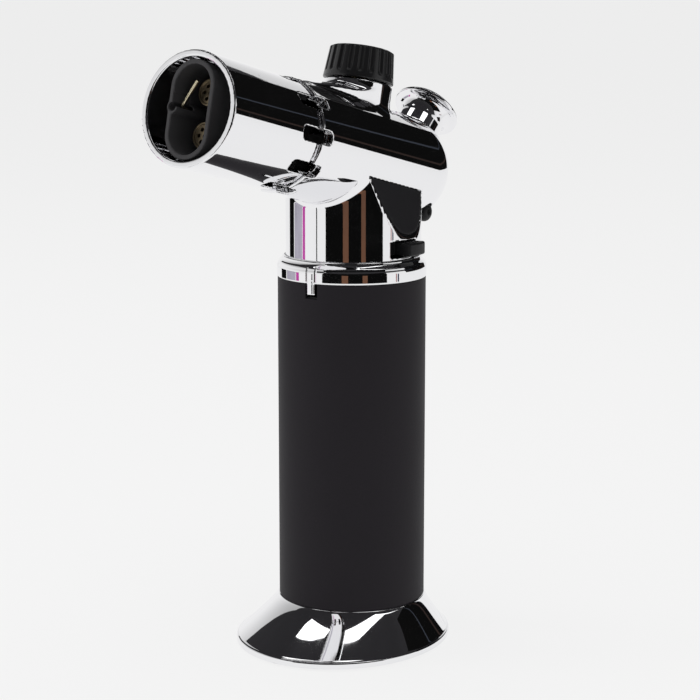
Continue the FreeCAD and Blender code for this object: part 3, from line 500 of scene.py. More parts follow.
def geometry_tree(name, inputs):
    """New geometry tree with a geometry input, the named inputs and a Finish material."""
    tree = bpy.data.node_groups.new(name, "GeometryNodeTree")
    tree.interface.new_socket("Shape", in_out="INPUT", socket_type="NodeSocketGeometry")
    for key, (kind, value) in inputs.items():
        socket = tree.interface.new_socket(key, in_out="INPUT", socket_type=kind)
        socket.default_value = value
    tree.interface.new_socket("Finish", in_out="INPUT", socket_type="NodeSocketMaterial")
    tree.interface.new_socket("Result", in_out="OUTPUT", socket_type="NodeSocketGeometry")
    return tree, tree.nodes.new("NodeGroupInput"), tree.nodes.new("NodeGroupOutput")


# Copies of one shape, evenly turned about the local z axis, at a radius from it.
around_axis, g_in, g_out = geometry_tree("round an axis", {
    "Count": ("NodeSocketInt", 3), "Radius": ("NodeSocketFloat", 0.0), "Start": ("NodeSocketFloat", 0.0),
    "Merge": ("NodeSocketFloat", 0.0)})
points = node(around_axis, "GeometryNodePoints", ("Count", g_in.outputs["Count"]))
number = around_axis.nodes.new("GeometryNodeInputIndex")
pitch = node(around_axis, "ShaderNodeMath", (1, g_in.outputs["Count"]), operation="DIVIDE")
pitch.inputs[0].default_value = 2 * math.pi
angle = node(around_axis, "ShaderNodeMath", (0, number.outputs[0]), (1, pitch.outputs[0]),
             (2, g_in.outputs["Start"]), operation="MULTIPLY_ADD")
turn = node(around_axis, "ShaderNodeCombineXYZ", ("Z", angle.outputs[0]))
outward = node(around_axis, "ShaderNodeCombineXYZ", ("X", g_in.outputs["Radius"]))
moved = node(around_axis, "GeometryNodeTransform", ("Geometry", g_in.outputs["Shape"]),
             ("Translation", outward.outputs[0]))
copies = node(around_axis, "GeometryNodeInstanceOnPoints", ("Points", points.outputs[0]),
              ("Instance", moved.outputs[0]), ("Rotation", turn.outputs[0]))
real = node(around_axis, "GeometryNodeRealizeInstances", ("Geometry", copies.outputs[0]))
welded = node(around_axis, "GeometryNodeMergeByDistance", ("Geometry", real.outputs[0]),
              ("Distance", g_in.outputs["Merge"]))
finished = node(around_axis, "GeometryNodeSetMaterial", ("Geometry", welded.outputs[0]),
                ("Material", g_in.outputs["Finish"]))
around_axis.links.new(finished.outputs[0], g_out.inputs[0])

SCREW_CIRCLE, SCREW_R, SCREW_HEAD, SCREW_Z, SCREW_TOP = 11.0, 1.2, 2.6, 7.2, 15.5
AXIS = 0.001
screw = turned("screw", [(AXIS, SCREW_Z + 0.3, 0), (0.55, SCREW_Z + 0.3, 0.05), (0.6, SCREW_Z + 0.05, 0.05),
                         (SCREW_HEAD, SCREW_Z, 0.35), (SCREW_HEAD, ROOF, 0.1), (SCREW_R, ROOF, 0),
                         (SCREW_R, SCREW_TOP, 0.3), (AXIS, SCREW_TOP, 0)], steel, around=48)
screw.modifiers.clear()
screws = grow("foot_screw_set", screw, around_axis,
              {"Count": 3, "Radius": SCREW_CIRCLE * MM, "Start": math.pi / 2}, steel)
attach(screws, "torch_body")
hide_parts("foot_screws")

# ---------------------------------------------------------------- handle sleeve
# Aluminium tube with a matte black soft-touch coat, slid over the tank.  A small notch at its
# top front takes the collar's tab.
soft_touch = plastic("soft touch black", (0.0140, 0.0122, 0.0150), (0.03, 0.03, 0.03), 0.56, 3200.0,
                     0.000022, gloss=0.12)
SLEEVE_R, SLEEVE_WALL, SLEEVE_LOW, SLEEVE_HIGH = 20.0, 1.1, 11.8, 100.3
NOTCH_HALF, NOTCH_LOW, NOTCH_TURN = 1.8, 96.4, 3.0
AROUND, ACROSS_NOTCH = 220, 6
half_angle = math.degrees(NOTCH_HALF / SLEEVE_R)
columns = [NOTCH_TURN - 90 + half_angle + (360 - 2 * half_angle) * i / AROUND for i in range(AROUND + 1)]
columns += [NOTCH_TURN - 90 + half_angle * (2 * i / ACROSS_NOTCH - 1) for i in range(1, ACROSS_NOTCH)]
rows = [SLEEVE_LOW, 40.0, 70.0, NOTCH_LOW, SLEEVE_HIGH]
verts = [(SLEEVE_R * math.cos(math.radians(a)), SLEEVE_R * math.sin(math.radians(a)), z)
         for z in rows for a in columns]
wide = len(columns)
faces = [(r * wide + c, r * wide + (c + 1) % wide, (r + 1) * wide + (c + 1) % wide, (r + 1) * wide + c)
         for r in range(len(rows) - 1) for c in range(wide) if r < len(rows) - 2 or c < AROUND]
sleeve = shell("grip_sleeve", verts, faces, soft_touch)
sleeve.modifiers.clear()
wall = sleeve.modifiers.new("wall", "SOLIDIFY")
wall.thickness = SLEEVE_WALL * MM
wall.offset = -1
soften = sleeve.modifiers.new("edge", "BEVEL")
soften.width = 0.0002
soften.segments = 3
soften.limit_method = "ANGLE"
soften.angle_limit = math.radians(50)
soften.harden_normals = True
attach(sleeve, "torch_body")
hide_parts("handle_sleeve")


# ---------------------------------------------------------------- collar
# Chrome ring that clamps the sleeve down: a rounded bead, a stepped shoulder up to the neck,
# and a tab that keys into the sleeve's notch.
def soft_min(a, b, k):
    """Smaller of two distances, with the corner between them filled to a smooth fillet."""
    h = np.clip(0.5 + 0.5 * (b - a) / k, 0, 1)
    return b + (a - b) * h - k * h * (1 - h)


def soft_max(a, b, k):
    """Larger of two distances, with the edge between them rounded off."""
    return -soft_min(-a, -b, k)


def both(k, *distances):
    """Where all the shapes overlap, with their shared edges rounded."""
    whole = distances[0]
    for one in distances[1:]:
        whole = soft_max(whole, one, k)
    return whole


def cast(name, cad_node, grid, distance, material):
    """Casting skin: the node's solid is meshed on an even grid, then every point is drawn onto the
    rounded shape that `distance` describes, and shaded with that shape's own normals."""
    work = bmesh.new()
    work.from_mesh(nodes[cad_node].data)
    bmesh.ops.remove_doubles(work, verts=work.verts, dist=1e-6)
    mesh = bpy.data.meshes.new(name)
    work.to_mesh(mesh)
    work.free()
    source = bpy.data.objects.new(name + "_source", mesh)
    bpy.context.scene.collection.objects.link(source)
    remesh = source.modifiers.new("grid", "REMESH")
    remesh.mode = "VOXEL"
    remesh.voxel_size = grid * MM
    evaluated = source.evaluated_get(bpy.context.evaluated_depsgraph_get())
    skin = bpy.data.meshes.new_from_object(evaluated)
    bpy.data.objects.remove(source)
    skin.name = name
    p = np.empty(len(skin.vertices) * 3)
    skin.vertices.foreach_get("co", p)
    p = p.reshape(-1, 3) / MM
    ends = np.empty(len(skin.edges) * 2, int)
    skin.edges.foreach_get("vertices", ends)
    ends = ends.reshape(-1, 2)
    degree = np.bincount(ends.ravel(), minlength=len(p))[:, None]

    def slope(q):
        step = 0.01
        g = np.stack([distance(*(q + np.eye(3)[i] * step).T) - distance(*(q - np.eye(3)[i] * step).T)
                      for i in range(3)], 1) / (2 * step)
        return g

    def draw_on(q, passes):
        for _ in range(passes):
            g = slope(q)
            length = np.maximum((g * g).sum(1), 0.05)
            move = np.clip(distance(*q.T) / length, -grid, grid)
            q = q - g * move[:, None]
        return q

    p = draw_on(p, 4)
    for _ in range(3):
        total = np.zeros_like(p)
        np.add.at(total, ends[:, 0], p[ends[:, 1]])
        np.add.at(total, ends[:, 1], p[ends[:, 0]])
        p = draw_on(p * 0.5 + total / degree * 0.5, 2)
    p = draw_on(p, 3)
    normals = slope(p)
    normals /= np.linalg.norm(normals, axis=1)[:, None]
    skin.vertices.foreach_set("co", (p * MM).ravel())
    skin.update()
    skin.shade_smooth()
    skin.normals_split_custom_set_from_vertices(normals.tolist())
    skin.materials.clear()
    skin.materials.append(material)
    piece = bpy.data.objects.new(name, skin)
    bpy.context.scene.collection.objects.link(piece)
    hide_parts(cad_node)
    return piece


NECK_R = 17.8
BEAD_R, BEAD_LOW, BEAD_TOP = 20.2, 100.3, 103.9
STEP_R, STEP_LOW, STEP_TOP = 18.75, 103.0, 106.0
NECK_CLEAR, TANK_CLEAR = 17.85, 16.5
TAB_HALF, TAB_LOW, TAB_INNER_R = 1.2, 97.4, 18.9


def collar_shape(x, y, z):
    """Bead, step and tab run together, less the bore and the thin grooves beside the tab."""
    r = np.hypot(x, y)
    ring = both(0.5, r - BEAD_R, BEAD_LOW - z, (z - BEAD_TOP) * 0.8 + (r - BEAD_R) * 0.6 + 0.25)
    step = both(0.35, r - STEP_R, z - STEP_TOP, STEP_LOW - z)
    ring = soft_min(ring, both(0.3, (z - 105.1) * 0.76 + (r - 19.0) * 0.65, 103.5 - z, r - 19.9), 0.3)
    ring = soft_min(ring, step, 0.5)
    bore = np.where(z > STEP_LOW, NECK_CLEAR, TANK_CLEAR) - r
    ring = both(0.3, ring, bore)
    a = math.radians(NOTCH_TURN)
    across = x * math.cos(a) + y * math.sin(a)
    forward = x * math.sin(a) - y * math.cos(a)
    tab = both(0.3, np.abs(across) - TAB_HALF, TAB_LOW - z, z - 101.2, r - BEAD_R, TAB_INNER_R - r,
               15 - forward)
    groove = both(0.1, np.abs(np.abs(across) - 1.35) - 0.15, 99.0 - z, z - 104.9, 19.6 - r, 15 - forward)
    return both(0.12, soft_min(ring, tab, 0.2), -groove)


collar = cast("collar", "collar_ring", 0.28, collar_shape, chrome)
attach(collar, "torch_body")

# ---------------------------------------------------------------- head shell
# One chrome-plated casting: the round neck with two flats, the rear half of the barrel with its
# domed end, and the boss under the dial.  The neck and boss run into the barrel with small fillets.
TILT = math.radians(13.4)
BARREL_Z = 132.4
FORWARD = Vector((0, -math.cos(TILT), math.sin(TILT)))
CROWN = Vector((0, math.sin(TILT), math.cos(TILT)))
REAR_R, REAR_BORE = 14.95, 13.2
DOME_S = -20.7
DIAL_S = 1.8
SEAM, SEAM_GAP = 34.7, 1.2
PANEL_LEAN = math.atan(0.29)
PANEL_X, PANEL_V = 13.6, -6.16
NECK_BACK, NECK_LOW, NECK_DEEP_LOW, NECK_BORE = 1.7, 103.1, 106.1, 15.9
BOSS_R, BOSS_TOP, VALVE_HOLE, PLUNGER_HOLE = 9.3, 19.3, 4.15, 6.9
LOCK_Z, ARC_PER_DEGREE = 108.8, 0.01745
BOLT_Y, BOLT_Z, BOLT_HOLE = 21.0, 116.0, 2.7
POCKET_OVAL, OVAL_Z = (13.7, 15.65), 128.0
LEAN = math.radians(47.0)
DOME_Y = FORWARD.y * DOME_S
DOME_Z = BARREL_Z + FORWARD.z * DOME_S


def in_barrel(y, z):
    """Distance along the barrel's axis and height above it."""
    return (FORWARD.y * y + FORWARD.z * (z - BARREL_Z), CROWN.y * y + CROWN.z * (z - BARREL_Z))


def flat_side(x, v, side):
    """Distance outside the neck's leaning flat on one side."""
    return (side * x - PANEL_X) * math.cos(PANEL_LEAN) + (v - PANEL_V) * math.sin(PANEL_LEAN)


def neck_radius(x, y):
    """Distance from the neck's axis; the neck is a little deeper from front to back than wide."""
    return np.hypot(x, y - np.clip(y, 0, NECK_BACK))


def panel_foot(y, z, half_wide, half_tall):
    """Distance outside the upright oval that rounds off the foot of each side panel."""
    return (np.hypot((y - NECK_BACK) / half_wide, (z - OVAL_Z) / half_tall) - 1) * half_wide


SLOTS, SLOT_S, SLOT_HALF_WIDE, SLOT_HALF_LONG = 10, 35.8, 1.9, 5.9
SLOT_CORNER, SLOT_PLATING, SLOT_FLOOR = 1.2, 0.12, 6.0


def air_slot(x, v, s):
    """Ring of round-cornered slots across the seam, narrowed by the plating; negative inside."""
    pitch = 2 * math.pi / SLOTS
    a = np.mod(np.arctan2(x, v), pitch) - pitch / 2
    r = np.hypot(x, v)
    w = np.abs(r * np.sin(a)) - SLOT_HALF_WIDE + SLOT_CORNER + SLOT_PLATING
    along = np.abs(s - SLOT_S) - SLOT_HALF_LONG + SLOT_CORNER + SLOT_PLATING
    rounded = np.hypot(np.maximum(w, 0), np.maximum(along, 0)) + np.minimum(np.maximum(w, along), 0)
    return np.maximum(rounded - SLOT_CORNER, SLOT_FLOOR - r)


def head_shape(x, y, z):
    """Barrel, neck, dial boss and top pad run together, less the hollow, holes and pockets."""
    s, v = in_barrel(y, z)
    r = np.hypot(x, v)
    behind = np.minimum(s - DOME_S, 0)
    round_r = np.sqrt(r * r + behind * behind)
    barrel = soft_max(round_r - REAR_R, s - (SEAM - SEAM_GAP / 2), 0.5)
    about_z = np.hypot(x, y)
    about_neck = neck_radius(x, y)
    column = soft_min(np.maximum(about_z - NECK_R, NECK_LOW - z),
                      both(0.2, about_neck - NECK_R, NECK_DEEP_LOW - z), 0.1)
    neck = both(0.35, column, flat_side(x, v, 1), flat_side(x, v, -1))
    neck = np.maximum(neck, v)
    dial_r = np.hypot(x, s - DIAL_S)
    boss = soft_max(dial_r - BOSS_R, v - BOSS_TOP, 0.5)
    boss = np.maximum(boss, 5 - v)
    lift = math.radians(9.0)
    pad = np.hypot(x, v * math.cos(lift) + (s - 27) * math.sin(lift)) - REAR_R
    pad = both(0.5, pad, np.abs(x) - 3.5 - (26.5 - s) * 0.195, s - 26.5, 6 - s)
    pad = np.maximum(pad, 5 - v)
    outer = soft_min(barrel, neck, 1.5)
    outer = soft_min(outer, pad, 0.8)
    outer = soft_min(outer, boss, 1.6)
    bore = round_r - REAR_BORE
    neck_bore = np.maximum(np.maximum(np.maximum(about_z - NECK_BORE, flat_side(x, v, 1) + 1.9),
                                      flat_side(x, v, -1) + 1.9), v)
    hollow = soft_min(bore, neck_bore, 0.4)
    t = math.sin(LEAN) * (y - DOME_Y) + math.cos(LEAN) * (z - DOME_Z)
    around = np.hypot(x, math.cos(LEAN) * (y - DOME_Y) - math.sin(LEAN) * (z - DOME_Z))
    plunger_hole = np.maximum(around - PLUNGER_HOLE, 5 - t)
    valve_hole = np.maximum(dial_r - VALVE_HOLE, 5 - v)
    bolt_hole = np.hypot(y - BOLT_Y, z - BOLT_Z) - BOLT_HOLE
    side_angle = np.degrees(np.arctan2(x, -y))
    lock_slot = both(0.3, np.abs(z - LOCK_Z) - 2.1,
                     (np.abs(side_angle - 87.9) - 17.4) * about_z * ARC_PER_DEGREE, 13.8 - about_z)
    made = both(0.4, outer, -hollow)
    for hole in (plunger_hole, valve_hole, bolt_hole, lock_slot, air_slot(x, v, s)):
        made = both(0.3, made, -hole)
    for side in (1, -1):
        pocket = both(0.1, about_neck - 17.5, -(flat_side(x, v, side) + 1.05), v - PANEL_V + 0.3,
                      panel_foot(y, z, *POCKET_OVAL))
        made = both(0.1, made, -pocket)
    return made


head = cast("head_casting", "head_shell", 0.46, head_shape, chrome)
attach(head, "torch_body")

# ---------------------------------------------------------------- side panels
# Thin matte black plastic inlays glued into a pocket in each flat side of the neck, with the
# casting's bright rim left showing round them.
inlay_black = plastic("inlay black", (0.0115, 0.011, 0.0125), (0.03, 0.03, 0.03), 0.5, 2600.0, 0.00002,
                      gloss=0.12)


PANEL_OVAL, PANEL_MIDDLE_Z = (13.67, 15.62), 121.5


def panel_ring(side, inset, lift, around=256):
    """Ring of points along the panel's edge, drawn in by `inset` and raised by `lift`."""
    angles = np.linspace(0, 2 * math.pi, around, endpoint=False)
    near, far = np.zeros(around), np.full(around, 16.0)
    for _ in range(26):
        reach = (near + far) / 2
        y = NECK_BACK / 2 + reach * np.cos(angles)
        z = PANEL_MIDDLE_Z + reach * np.sin(angles)
        s, v = in_barrel(y, z)
        x = PANEL_X - (v - PANEL_V) * math.tan(PANEL_LEAN)
        outside = both(0.35, neck_radius(x, y) - 17.47, v - PANEL_V + 0.33, panel_foot(y, z, *PANEL_OVAL))
        near = np.where(outside + inset < 0, reach, near)
        far = np.where(outside + inset < 0, far, reach)
    rise = math.sin(PANEL_LEAN) * lift
    return np.stack([side * (x + math.cos(PANEL_LEAN) * lift), y + CROWN.y * rise, z + CROWN.z * rise], 1)


for name, cad_node, side in (("panel_lock_side", "side_panel_left", 1),
                             ("panel_far_side", "side_panel_right", -1)):
    edge = [(0.35, 0.06), (0.12, 0.05), (0.03, 0.0), (0.0, -0.1), (0.0, -0.9), (0.1, -1.0)]
    panel = shell(name, *ringed(np.array([panel_ring(side, inset, lift) for inset, lift in edge]), False),
                  inlay_black)
    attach(panel, "torch_body")
    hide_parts(cad_node)

# ---------------------------------------------------------------- nozzle tube
# Front half of the barrel, a turned and plated tube with a rounded mouth.  Its spigot slips into
# the casting and leaves a narrow bright gap, and the air slots run across the joint.
NOZZLE_R, NOZZLE_BORE, MOUTH_S = 14.4, 12.7, 69.6
SPIGOT_R, SPIGOT_S, THROAT = 13.15, 22.0, 12.0


def nozzle_shape(x, y, z):
    s, v = in_barrel(y, z)
    r = np.hypot(x, v)
    rear = SEAM + SEAM_GAP / 2
    front_part = both(0.45, r - NOZZLE_R, rear - s, s - MOUTH_S)
    spigot = both(0.25, r - SPIGOT_R, SPIGOT_S - s, s - 40.0)
    bore = r - np.clip(THROAT + (s - 41.8) * 0.47, THROAT, NOZZLE_BORE)
    tube = both(0.55, soft_min(front_part, spigot, 0.2), -bore)
    return both(0.3, tube, -air_slot(x, v, s))


nozzle = cast("nozzle_barrel", "nozzle_tube", 0.38, nozzle_shape, chrome)
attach(nozzle, "torch_body")

# ---------------------------------------------------------------- flame guard and burners
# Dark heat-proof tube with flat sides round both burners, and a wire channel inside one wall.
# The burners are drilled brass discs on steel mixing tubes; a brass wire makes the spark.
guard_metal = bare_metal("dark guard", (0.060, 0.060, 0.063), (0.042, 0.040, 0.042), 0.5, 0.35)
# This steel is darkened well below bare steel as painted shade, so inner parts seen through the openings
# look dark.
dark_steel = bare_metal("steel darkened as painted shade", (0.10, 0.095, 0.09), (0.05, 0.05, 0.055), 0.45, 0.8)
CHANNEL_X, CHANNEL_V, CHANNEL_R, CHANNEL_BORE = -5.5, 0.5, 1.6, 1.1
GUARD_HALF, GUARD_R, GUARD_BORE, GUARD_BACK, GUARD_FRONT = 5.6, 6.65, 5.4, 46.0, 69.0
BURNER_V, BURNER_R, DISH_R, BURNER_BACK, BURNER_FRONT, DISH_S = 5.3, 3.4, 2.85, 59.5, 62.4, 62.05
HOLES, HOLE_CIRCLE, HOLE_R = 6, 1.75, 0.45


def guard_shape(x, y, z):
    s, v = in_barrel(y, z)
    to_spine = np.hypot(x, np.maximum(np.abs(v) - GUARD_HALF, 0))
    to_wire = np.hypot(x - CHANNEL_X, v - CHANNEL_V)
    solid = soft_min(np.maximum(to_spine - GUARD_R, GUARD_BORE - to_spine), to_wire - CHANNEL_R, 0.5)
    ribs = np.maximum(np.maximum(np.abs(x) - 1.0, np.abs(np.abs(v) - 12.4) - 0.25),
                      np.maximum(47.0 - s, s - 60.0))
    solid = both(0.35, solid, GUARD_BACK - s, s - GUARD_FRONT)
    window = np.maximum(np.maximum(CHANNEL_X - x, x + 2.0), np.maximum(CHANNEL_V - v, v - 4.0))
    window = np.maximum(window, 62.5 - s)
    solid = both(0.25, solid, CHANNEL_BORE - to_wire)
    return soft_min(both(0.2, solid, -window), ribs, 0.1)


guard = cast("guard_tube", "flame_guard", 0.27, guard_shape, guard_metal)
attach(guard, "torch_body")

# This brass is darkened and dulled below fresh brass as painted shade for the burners deep inside the guard.
brass = bare_metal("turned brass", (0.42, 0.34, 0.22), (0.25, 0.20, 0.13), 0.3)


def burner_shape(side):
    def shape(x, y, z):
        s, v = in_barrel(y, z)
        w = v - side * BURNER_V
        r = np.hypot(x, w)
        pitch = 2 * math.pi / HOLES
        a = np.mod(np.arctan2(w, x) + pitch / 2, pitch) - pitch / 2
        ring = np.hypot(r * np.cos(a) - HOLE_CIRCLE, r * np.sin(a)) - HOLE_R
        disc = both(0.15, r - BURNER_R, BURNER_BACK - s, s - BURNER_FRONT)
        dish = np.maximum(r - DISH_R, DISH_S - s)
        disc = both(0.12, disc, -dish)
        return both(0.12, disc, -np.minimum(ring, r - HOLE_R))
    return shape


for level, side in (("upper", 1), ("lower", -1)):
    burner = cast(level + "_burner_disc", "burner_head_" + level, 0.16, burner_shape(side), brass)
    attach(burner, "torch_body")


def barrel_point(x, v, s):
    """Point in metres from its place across, above and along the barrel."""
    return (Vector((x, 0, BARREL_Z)) + FORWARD * s + CROWN * v) * MM


# A round wire or tube swept along a curve.
along_path, g_in, g_out = geometry_tree("along a path", {"Radius": ("NodeSocketFloat", 0.0005),
                                                         "Sides": ("NodeSocketInt", 20)})
ring = node(along_path, "GeometryNodeCurvePrimitiveCircle", ("Resolution", g_in.outputs["Sides"]),
            ("Radius", g_in.outputs["Radius"]))
swept = node(along_path, "GeometryNodeCurveToMesh", ("Curve", g_in.outputs["Shape"]),
             ("Profile Curve", ring.outputs[0]), Fill_Caps=True)
smooth = node(along_path, "GeometryNodeSetShadeSmooth", ("Geometry", swept.outputs[0]))
whole = node(along_path, "GeometryNodeRealizeInstances", ("Geometry", smooth.outputs[0]))
finished = node(along_path, "GeometryNodeSetMaterial", ("Geometry", whole.outputs[0]),
                ("Material", g_in.outputs["Finish"]))
along_path.links.new(finished.outputs[0], g_out.inputs[0])

wire_route = bpy.data.curves.new("wire route", "CURVE")
wire_route.dimensions = "3D"
route = [(CHANNEL_X, 0.5, 38.5), (CHANNEL_X, 0.5, 50.0), (CHANNEL_X, 0.5, 58.5), (CHANNEL_X, 0.55, 63.0),
         (CHANNEL_X, 0.9, 65.0), (-5.2, 1.6, 65.35), (-3.6, 4.1, 65.5), (-1.2, 7.5, 65.8)]
spline = wire_route.splines.new("NURBS")
spline.points.add(len(route) - 1)
for point, spot in zip(spline.points, route):
    point.co = (*barrel_point(*spot), 1)
spline.order_u = 3
spline.use_endpoint_u = True
spline.resolution_u = 10
wire_source = bpy.data.objects.new("wire source", wire_route)
bpy.context.scene.collection.objects.link(wire_source)
spark_brass = bare_metal("spark wire brass", (0.92, 0.84, 0.62), (0.7, 0.6, 0.4), 0.22)
WIRE_R = 0.45
spark_wire = grow("spark_wire", wire_source, along_path, {"Radius": WIRE_R * MM, "Sides": 20},
                  spark_brass)
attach(spark_wire, "torch_body")
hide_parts("electrode_wire")

# ---------------------------------------------------------------- flame dial
# Black moulded cap on the needle valve's spindle.  Twenty flutes with rounded feet are cut into
# its tapered side, above a plain band; its top is very slightly crowned.
# The light edge colour here is partly rubbed wear and partly a painted highlight along the flute edges.
dial_plastic = plastic("dial plastic", (0.007, 0.007, 0.0075), (0.11, 0.11, 0.115), 0.30, 2400.0, 0.00002,
                       gloss=0.5)
DIAL_RIBS = 20


def frame_on(origin, along):
    """Place whose local z is `along` and whose local x stays across the torch; millimetres."""
    z = Vector(along).normalized()
    y = z.cross(Vector((1, 0, 0))).normalized()
    turn = Matrix(((1, y.x, z.x, 0), (0, y.y, z.y, 0), (0, y.z, z.z, 0), (0, 0, 0, 1)))
    return Matrix.Translation(origin) @ turn


dial_place = frame_on(Vector((0, 0, BARREL_Z)) + FORWARD * DIAL_S, CROWN)
DIAL_CROWN, DIAL_EDGE, DIAL_FOOT, DIAL_ROOF = 28.55, 28.42, 19.7, 26.0
dial_side = eased([(AXIS, DIAL_CROWN, 0), (7.75, DIAL_EDGE, 0.9), (8.62, 28.0, 0.35),
                   (9.5, DIAL_FOOT, 0.3), (8.2, DIAL_FOOT, 0.1), (8.1, DIAL_ROOF, 0.4),
                   (AXIS, DIAL_ROOF, 0)], 6)
full_side = []
for (r0, z0), (r1, z1) in zip(dial_side, dial_side[1:]):
    cuts = 26 if abs(z1 - z0) > 5 and r0 > 8.3 else (8 if abs(r1 - r0) > 5 else 1)
    full_side += [(r0 + (r1 - r0) * k / cuts, z0 + (z1 - z0) * k / cuts) for k in range(cuts)]
full_side.append(dial_side[-1])
sector = 2 * math.pi / DIAL_RIBS
steps = 18
TAPER = 0.9 / 8.7
FLUTE_R, FLUTE_FOOT, FLUTE_AXIS_R = 0.74, 22.0, 9.44
verts = []
for r, z in full_side:
    for j in range(steps + 1):
        a = sector * (j / steps - 0.5)
        here = r
        if r > 8.25:
            across_flute = r * math.sin(a)
            below = max(FLUTE_FOOT - z, 0)
            depth = FLUTE_R ** 2 - across_flute ** 2 - below ** 2
            axis_r = FLUTE_AXIS_R - TAPER * (z - FLUTE_FOOT)
            if depth > 0:
                here = float(soft_min(np.array(r), np.array(axis_r - math.sqrt(depth)), 0.12))
        verts.append((here * math.cos(a), here * math.sin(a), z))
row = steps + 1
faces = [(i * row + j, i * row + j + 1, (i + 1) * row + j + 1, (i + 1) * row + j)
         for i in range(len(full_side) - 1) for j in range(steps)]
wedge_mesh = bpy.data.meshes.new("dial wedge")
wedge_mesh.from_pydata([Vector(v) * MM for v in verts], [], faces)
wedge = bpy.data.objects.new("dial wedge", wedge_mesh)
bpy.context.scene.collection.objects.link(wedge)
dial = grow("dial_cap", wedge, around_axis, {"Count": DIAL_RIBS, "Merge": 0.00001}, dial_plastic)
dial.data.transform(Matrix.Translation(dial_place.translation * MM) @ dial_place.to_3x3().to_4x4())
tidy = bmesh.new()
tidy.from_mesh(dial.data)
bmesh.ops.remove_doubles(tidy, verts=tidy.verts, dist=1e-5)
bmesh.ops.recalc_face_normals(tidy, faces=tidy.faces)
tidy.to_mesh(dial.data)
tidy.free()
dial.data.shade_smooth()
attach(dial, "flame_dial")
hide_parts("flame_dial")

# ---------------------------------------------------------------- ignition plunger and its bush
# Turned and plated thumb button with a dished top and a trumpet flare, sliding in a black plastic
# bush set in the dome.  A flat rod below it reaches down to the gas lever.
button_place = frame_on(Vector((0, DOME_Y, DOME_Z)), (0, math.sin(LEAN), math.cos(LEAN)))
STEM_R, STEM_BORE, STEM_LOW, STEM_TOP, STEM_ROOF = 6.2, 5.2, 2.0, 17.0, 18.0
THROAT_R, THROAT_Z, TRUMPET_OUT, TRUMPET_UP = 6.35, 17.6, 2.75, 3.5
flare = [(THROAT_R + TRUMPET_OUT * (1 - math.cos(t * math.pi / 2)) ** 1.25,
          THROAT_Z + TRUMPET_UP * math.sin(t * math.pi / 2), 0) for t in np.linspace(1, 0, 18)]
plunger = turned("thumb_plunger",
                 [(AXIS, 21.05, 0), (3.0, 21.12, 0), (5.2, 21.35, 0), (6.8, 21.75, 0.8), (7.8, 22.6, 0.35),
                  (8.85, 22.6, 0.55), (9.4, 21.9, 0.4), (9.3, 21.25, 0.3)] + flare +
                 [(STEM_R, STEM_TOP, 0.3), (STEM_R, STEM_LOW, 0.3), (STEM_BORE, STEM_LOW, 0),
                  (STEM_BORE, STEM_ROOF, 0), (AXIS, STEM_ROOF, 0)],
                 chrome, button_place)
rod_mesh = bmesh.new()
rod_mesh.from_mesh(plunger.data)
rod = bmesh.ops.create_cube(rod_mesh, size=1.0)["verts"]
web = bmesh.ops.create_cube(rod_mesh, size=1.0)["verts"]
for verts, low, high in ((rod, (-2.0, 3.8, -17.5), (2.0, 5.3, 4.0)),
                         (web, (-2.0, 3.9, 2.1), (2.0, 5.6, 3.9))):
    for v in verts:
        spot = Vector([l + (h - l) * (c + 0.5) for l, h, c in zip(low, high, v.co)])
        v.co = button_place @ spot * MM
rod_mesh.to_mesh(plunger.data)
rod_mesh.free()
plunger.data.shade_smooth()
plunger.data.set_sharp_from_angle(angle=math.radians(40))
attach(plunger, "ignition_button")
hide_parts("ignition_button")

black_plastic = plastic("black plastic", (0.006, 0.006, 0.0065), (0.03, 0.03, 0.03), 0.42, 2200.0, 0.00002,
                        gloss=0.2)
BUSH_BORE, BUSH_R, BUSH_RIB_R, BUSH_LOW, BUSH_TOP = 6.3, 6.85, 7.35, 5.0, 13.0
bush = turned("plunger_bush", [(BUSH_BORE, BUSH_LOW, 0.1), (BUSH_R, BUSH_LOW, 0.1), (BUSH_R, 9.2, 0),
                               (BUSH_RIB_R, 9.2, 0), (BUSH_RIB_R, 10.6, 0), (BUSH_R, 10.6, 0),
                               (BUSH_R, BUSH_TOP, 0), (BUSH_BORE, BUSH_TOP, 0.15)],
              black_plastic, button_place)
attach(bush, "torch_body")
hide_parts("button_guide")


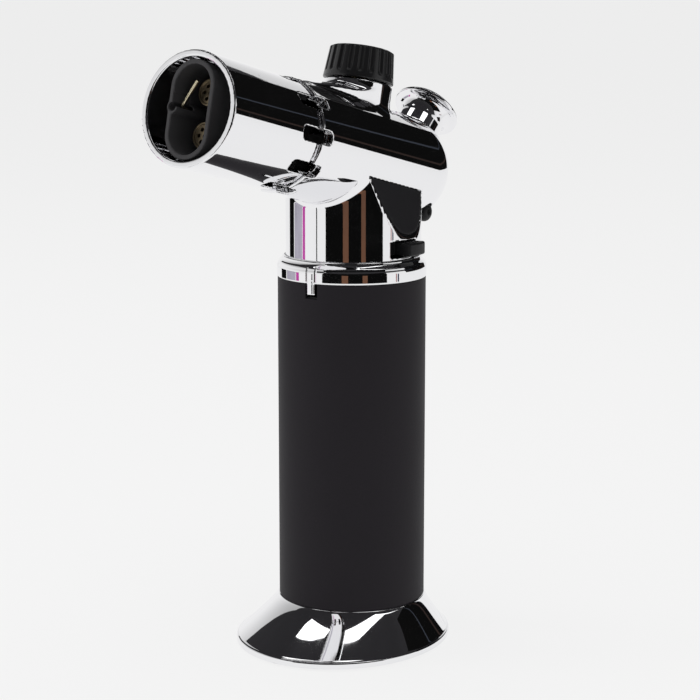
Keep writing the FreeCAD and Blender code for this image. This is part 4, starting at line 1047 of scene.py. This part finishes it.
# ---------------------------------------------------------------- lock slider and safety bolt
# The slider is a curved black plate inside the neck with a rounded thumb tab out through its slot.
# The bolt is a round black pin that crosses the dome's underside.
def slider_shape(x, y, z):
    r = np.hypot(x, y)
    a = np.degrees(np.arctan2(x, -y))
    level = np.abs(z - LOCK_Z) - 1.75
    plate = both(0.2, np.maximum(13.4 - r, r - 15.5), level,
                 (np.abs(a - 87.0) - 23.0) * r * ARC_PER_DEGREE)
    tab = both(0.6, np.maximum(14.5 - r, r - 21.0), level,
               (np.abs(a - 93.0) - 11.0) * r * ARC_PER_DEGREE)
    return soft_min(plate, tab, 0.3)


slider = cast("lock_tab", "lock_slider", 0.22, slider_shape, black_plastic)
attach(slider, "lock_slider")

bolt_place = Matrix(((0, 0, 1, 0), (1, 0, 0, BOLT_Y), (0, 1, 0, BOLT_Z), (0, 0, 0, 1)))
BOLT_R, BOLT_FAR, BOLT_NEAR, WAIST_R, WAIST = 2.6, -9.9, 11.0, 1.7, 2.6
bolt = turned("cross_bolt", [(AXIS, BOLT_FAR, 0), (BOLT_R, BOLT_FAR, 1.5), (BOLT_R, -WAIST, 0.1),
                             (WAIST_R, -WAIST, 0.1), (WAIST_R, WAIST, 0.1), (BOLT_R, WAIST, 0.1),
                             (BOLT_R, BOLT_NEAR, 1.5), (AXIS, BOLT_NEAR, 0)],
              black_plastic, bolt_place, 96)
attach(bolt, "safety_bolt")
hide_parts("safety_bolt")

# ---------------------------------------------------------------- inner works
# The tank, valves, hose, igniter and frame, all hidden in use.  Each keeps its solid shape and
# takes the finish of what it is made of; the dark steel and brass finishes are also darkened as painted
# shade.
tank_nylon = plastic("tank nylon", (0.03, 0.03, 0.032), (0.06, 0.06, 0.06), 0.35, 900.0, 0.00003, 0.2)
glazed = plastic("glazed ceramic", (0.7, 0.68, 0.63), (0.8, 0.78, 0.74), 0.2, 1200.0, 0.00001, 0.6)
lead_cover = plastic("lead insulation", (0.32, 0.03, 0.02), (0.4, 0.06, 0.05), 0.45, 1500.0, 0.00001)
finishes = {"steel": steel, "dark_steel": dark_steel, "brass": brass, "rubber": black_rubber,
            "black_plastic": black_plastic, "tank_plastic": tank_nylon, "ceramic": glazed,
            "red_wire": lead_cover, "chrome_plate": chrome, "soft_touch_black": soft_touch,
            "grey_metal": guard_metal}
for entry in frame["record"]["subparts"]:
    solid = nodes[entry["node"]].data
    solid.materials.clear()
    solid.materials.append(finishes[entry["material_slot"]])
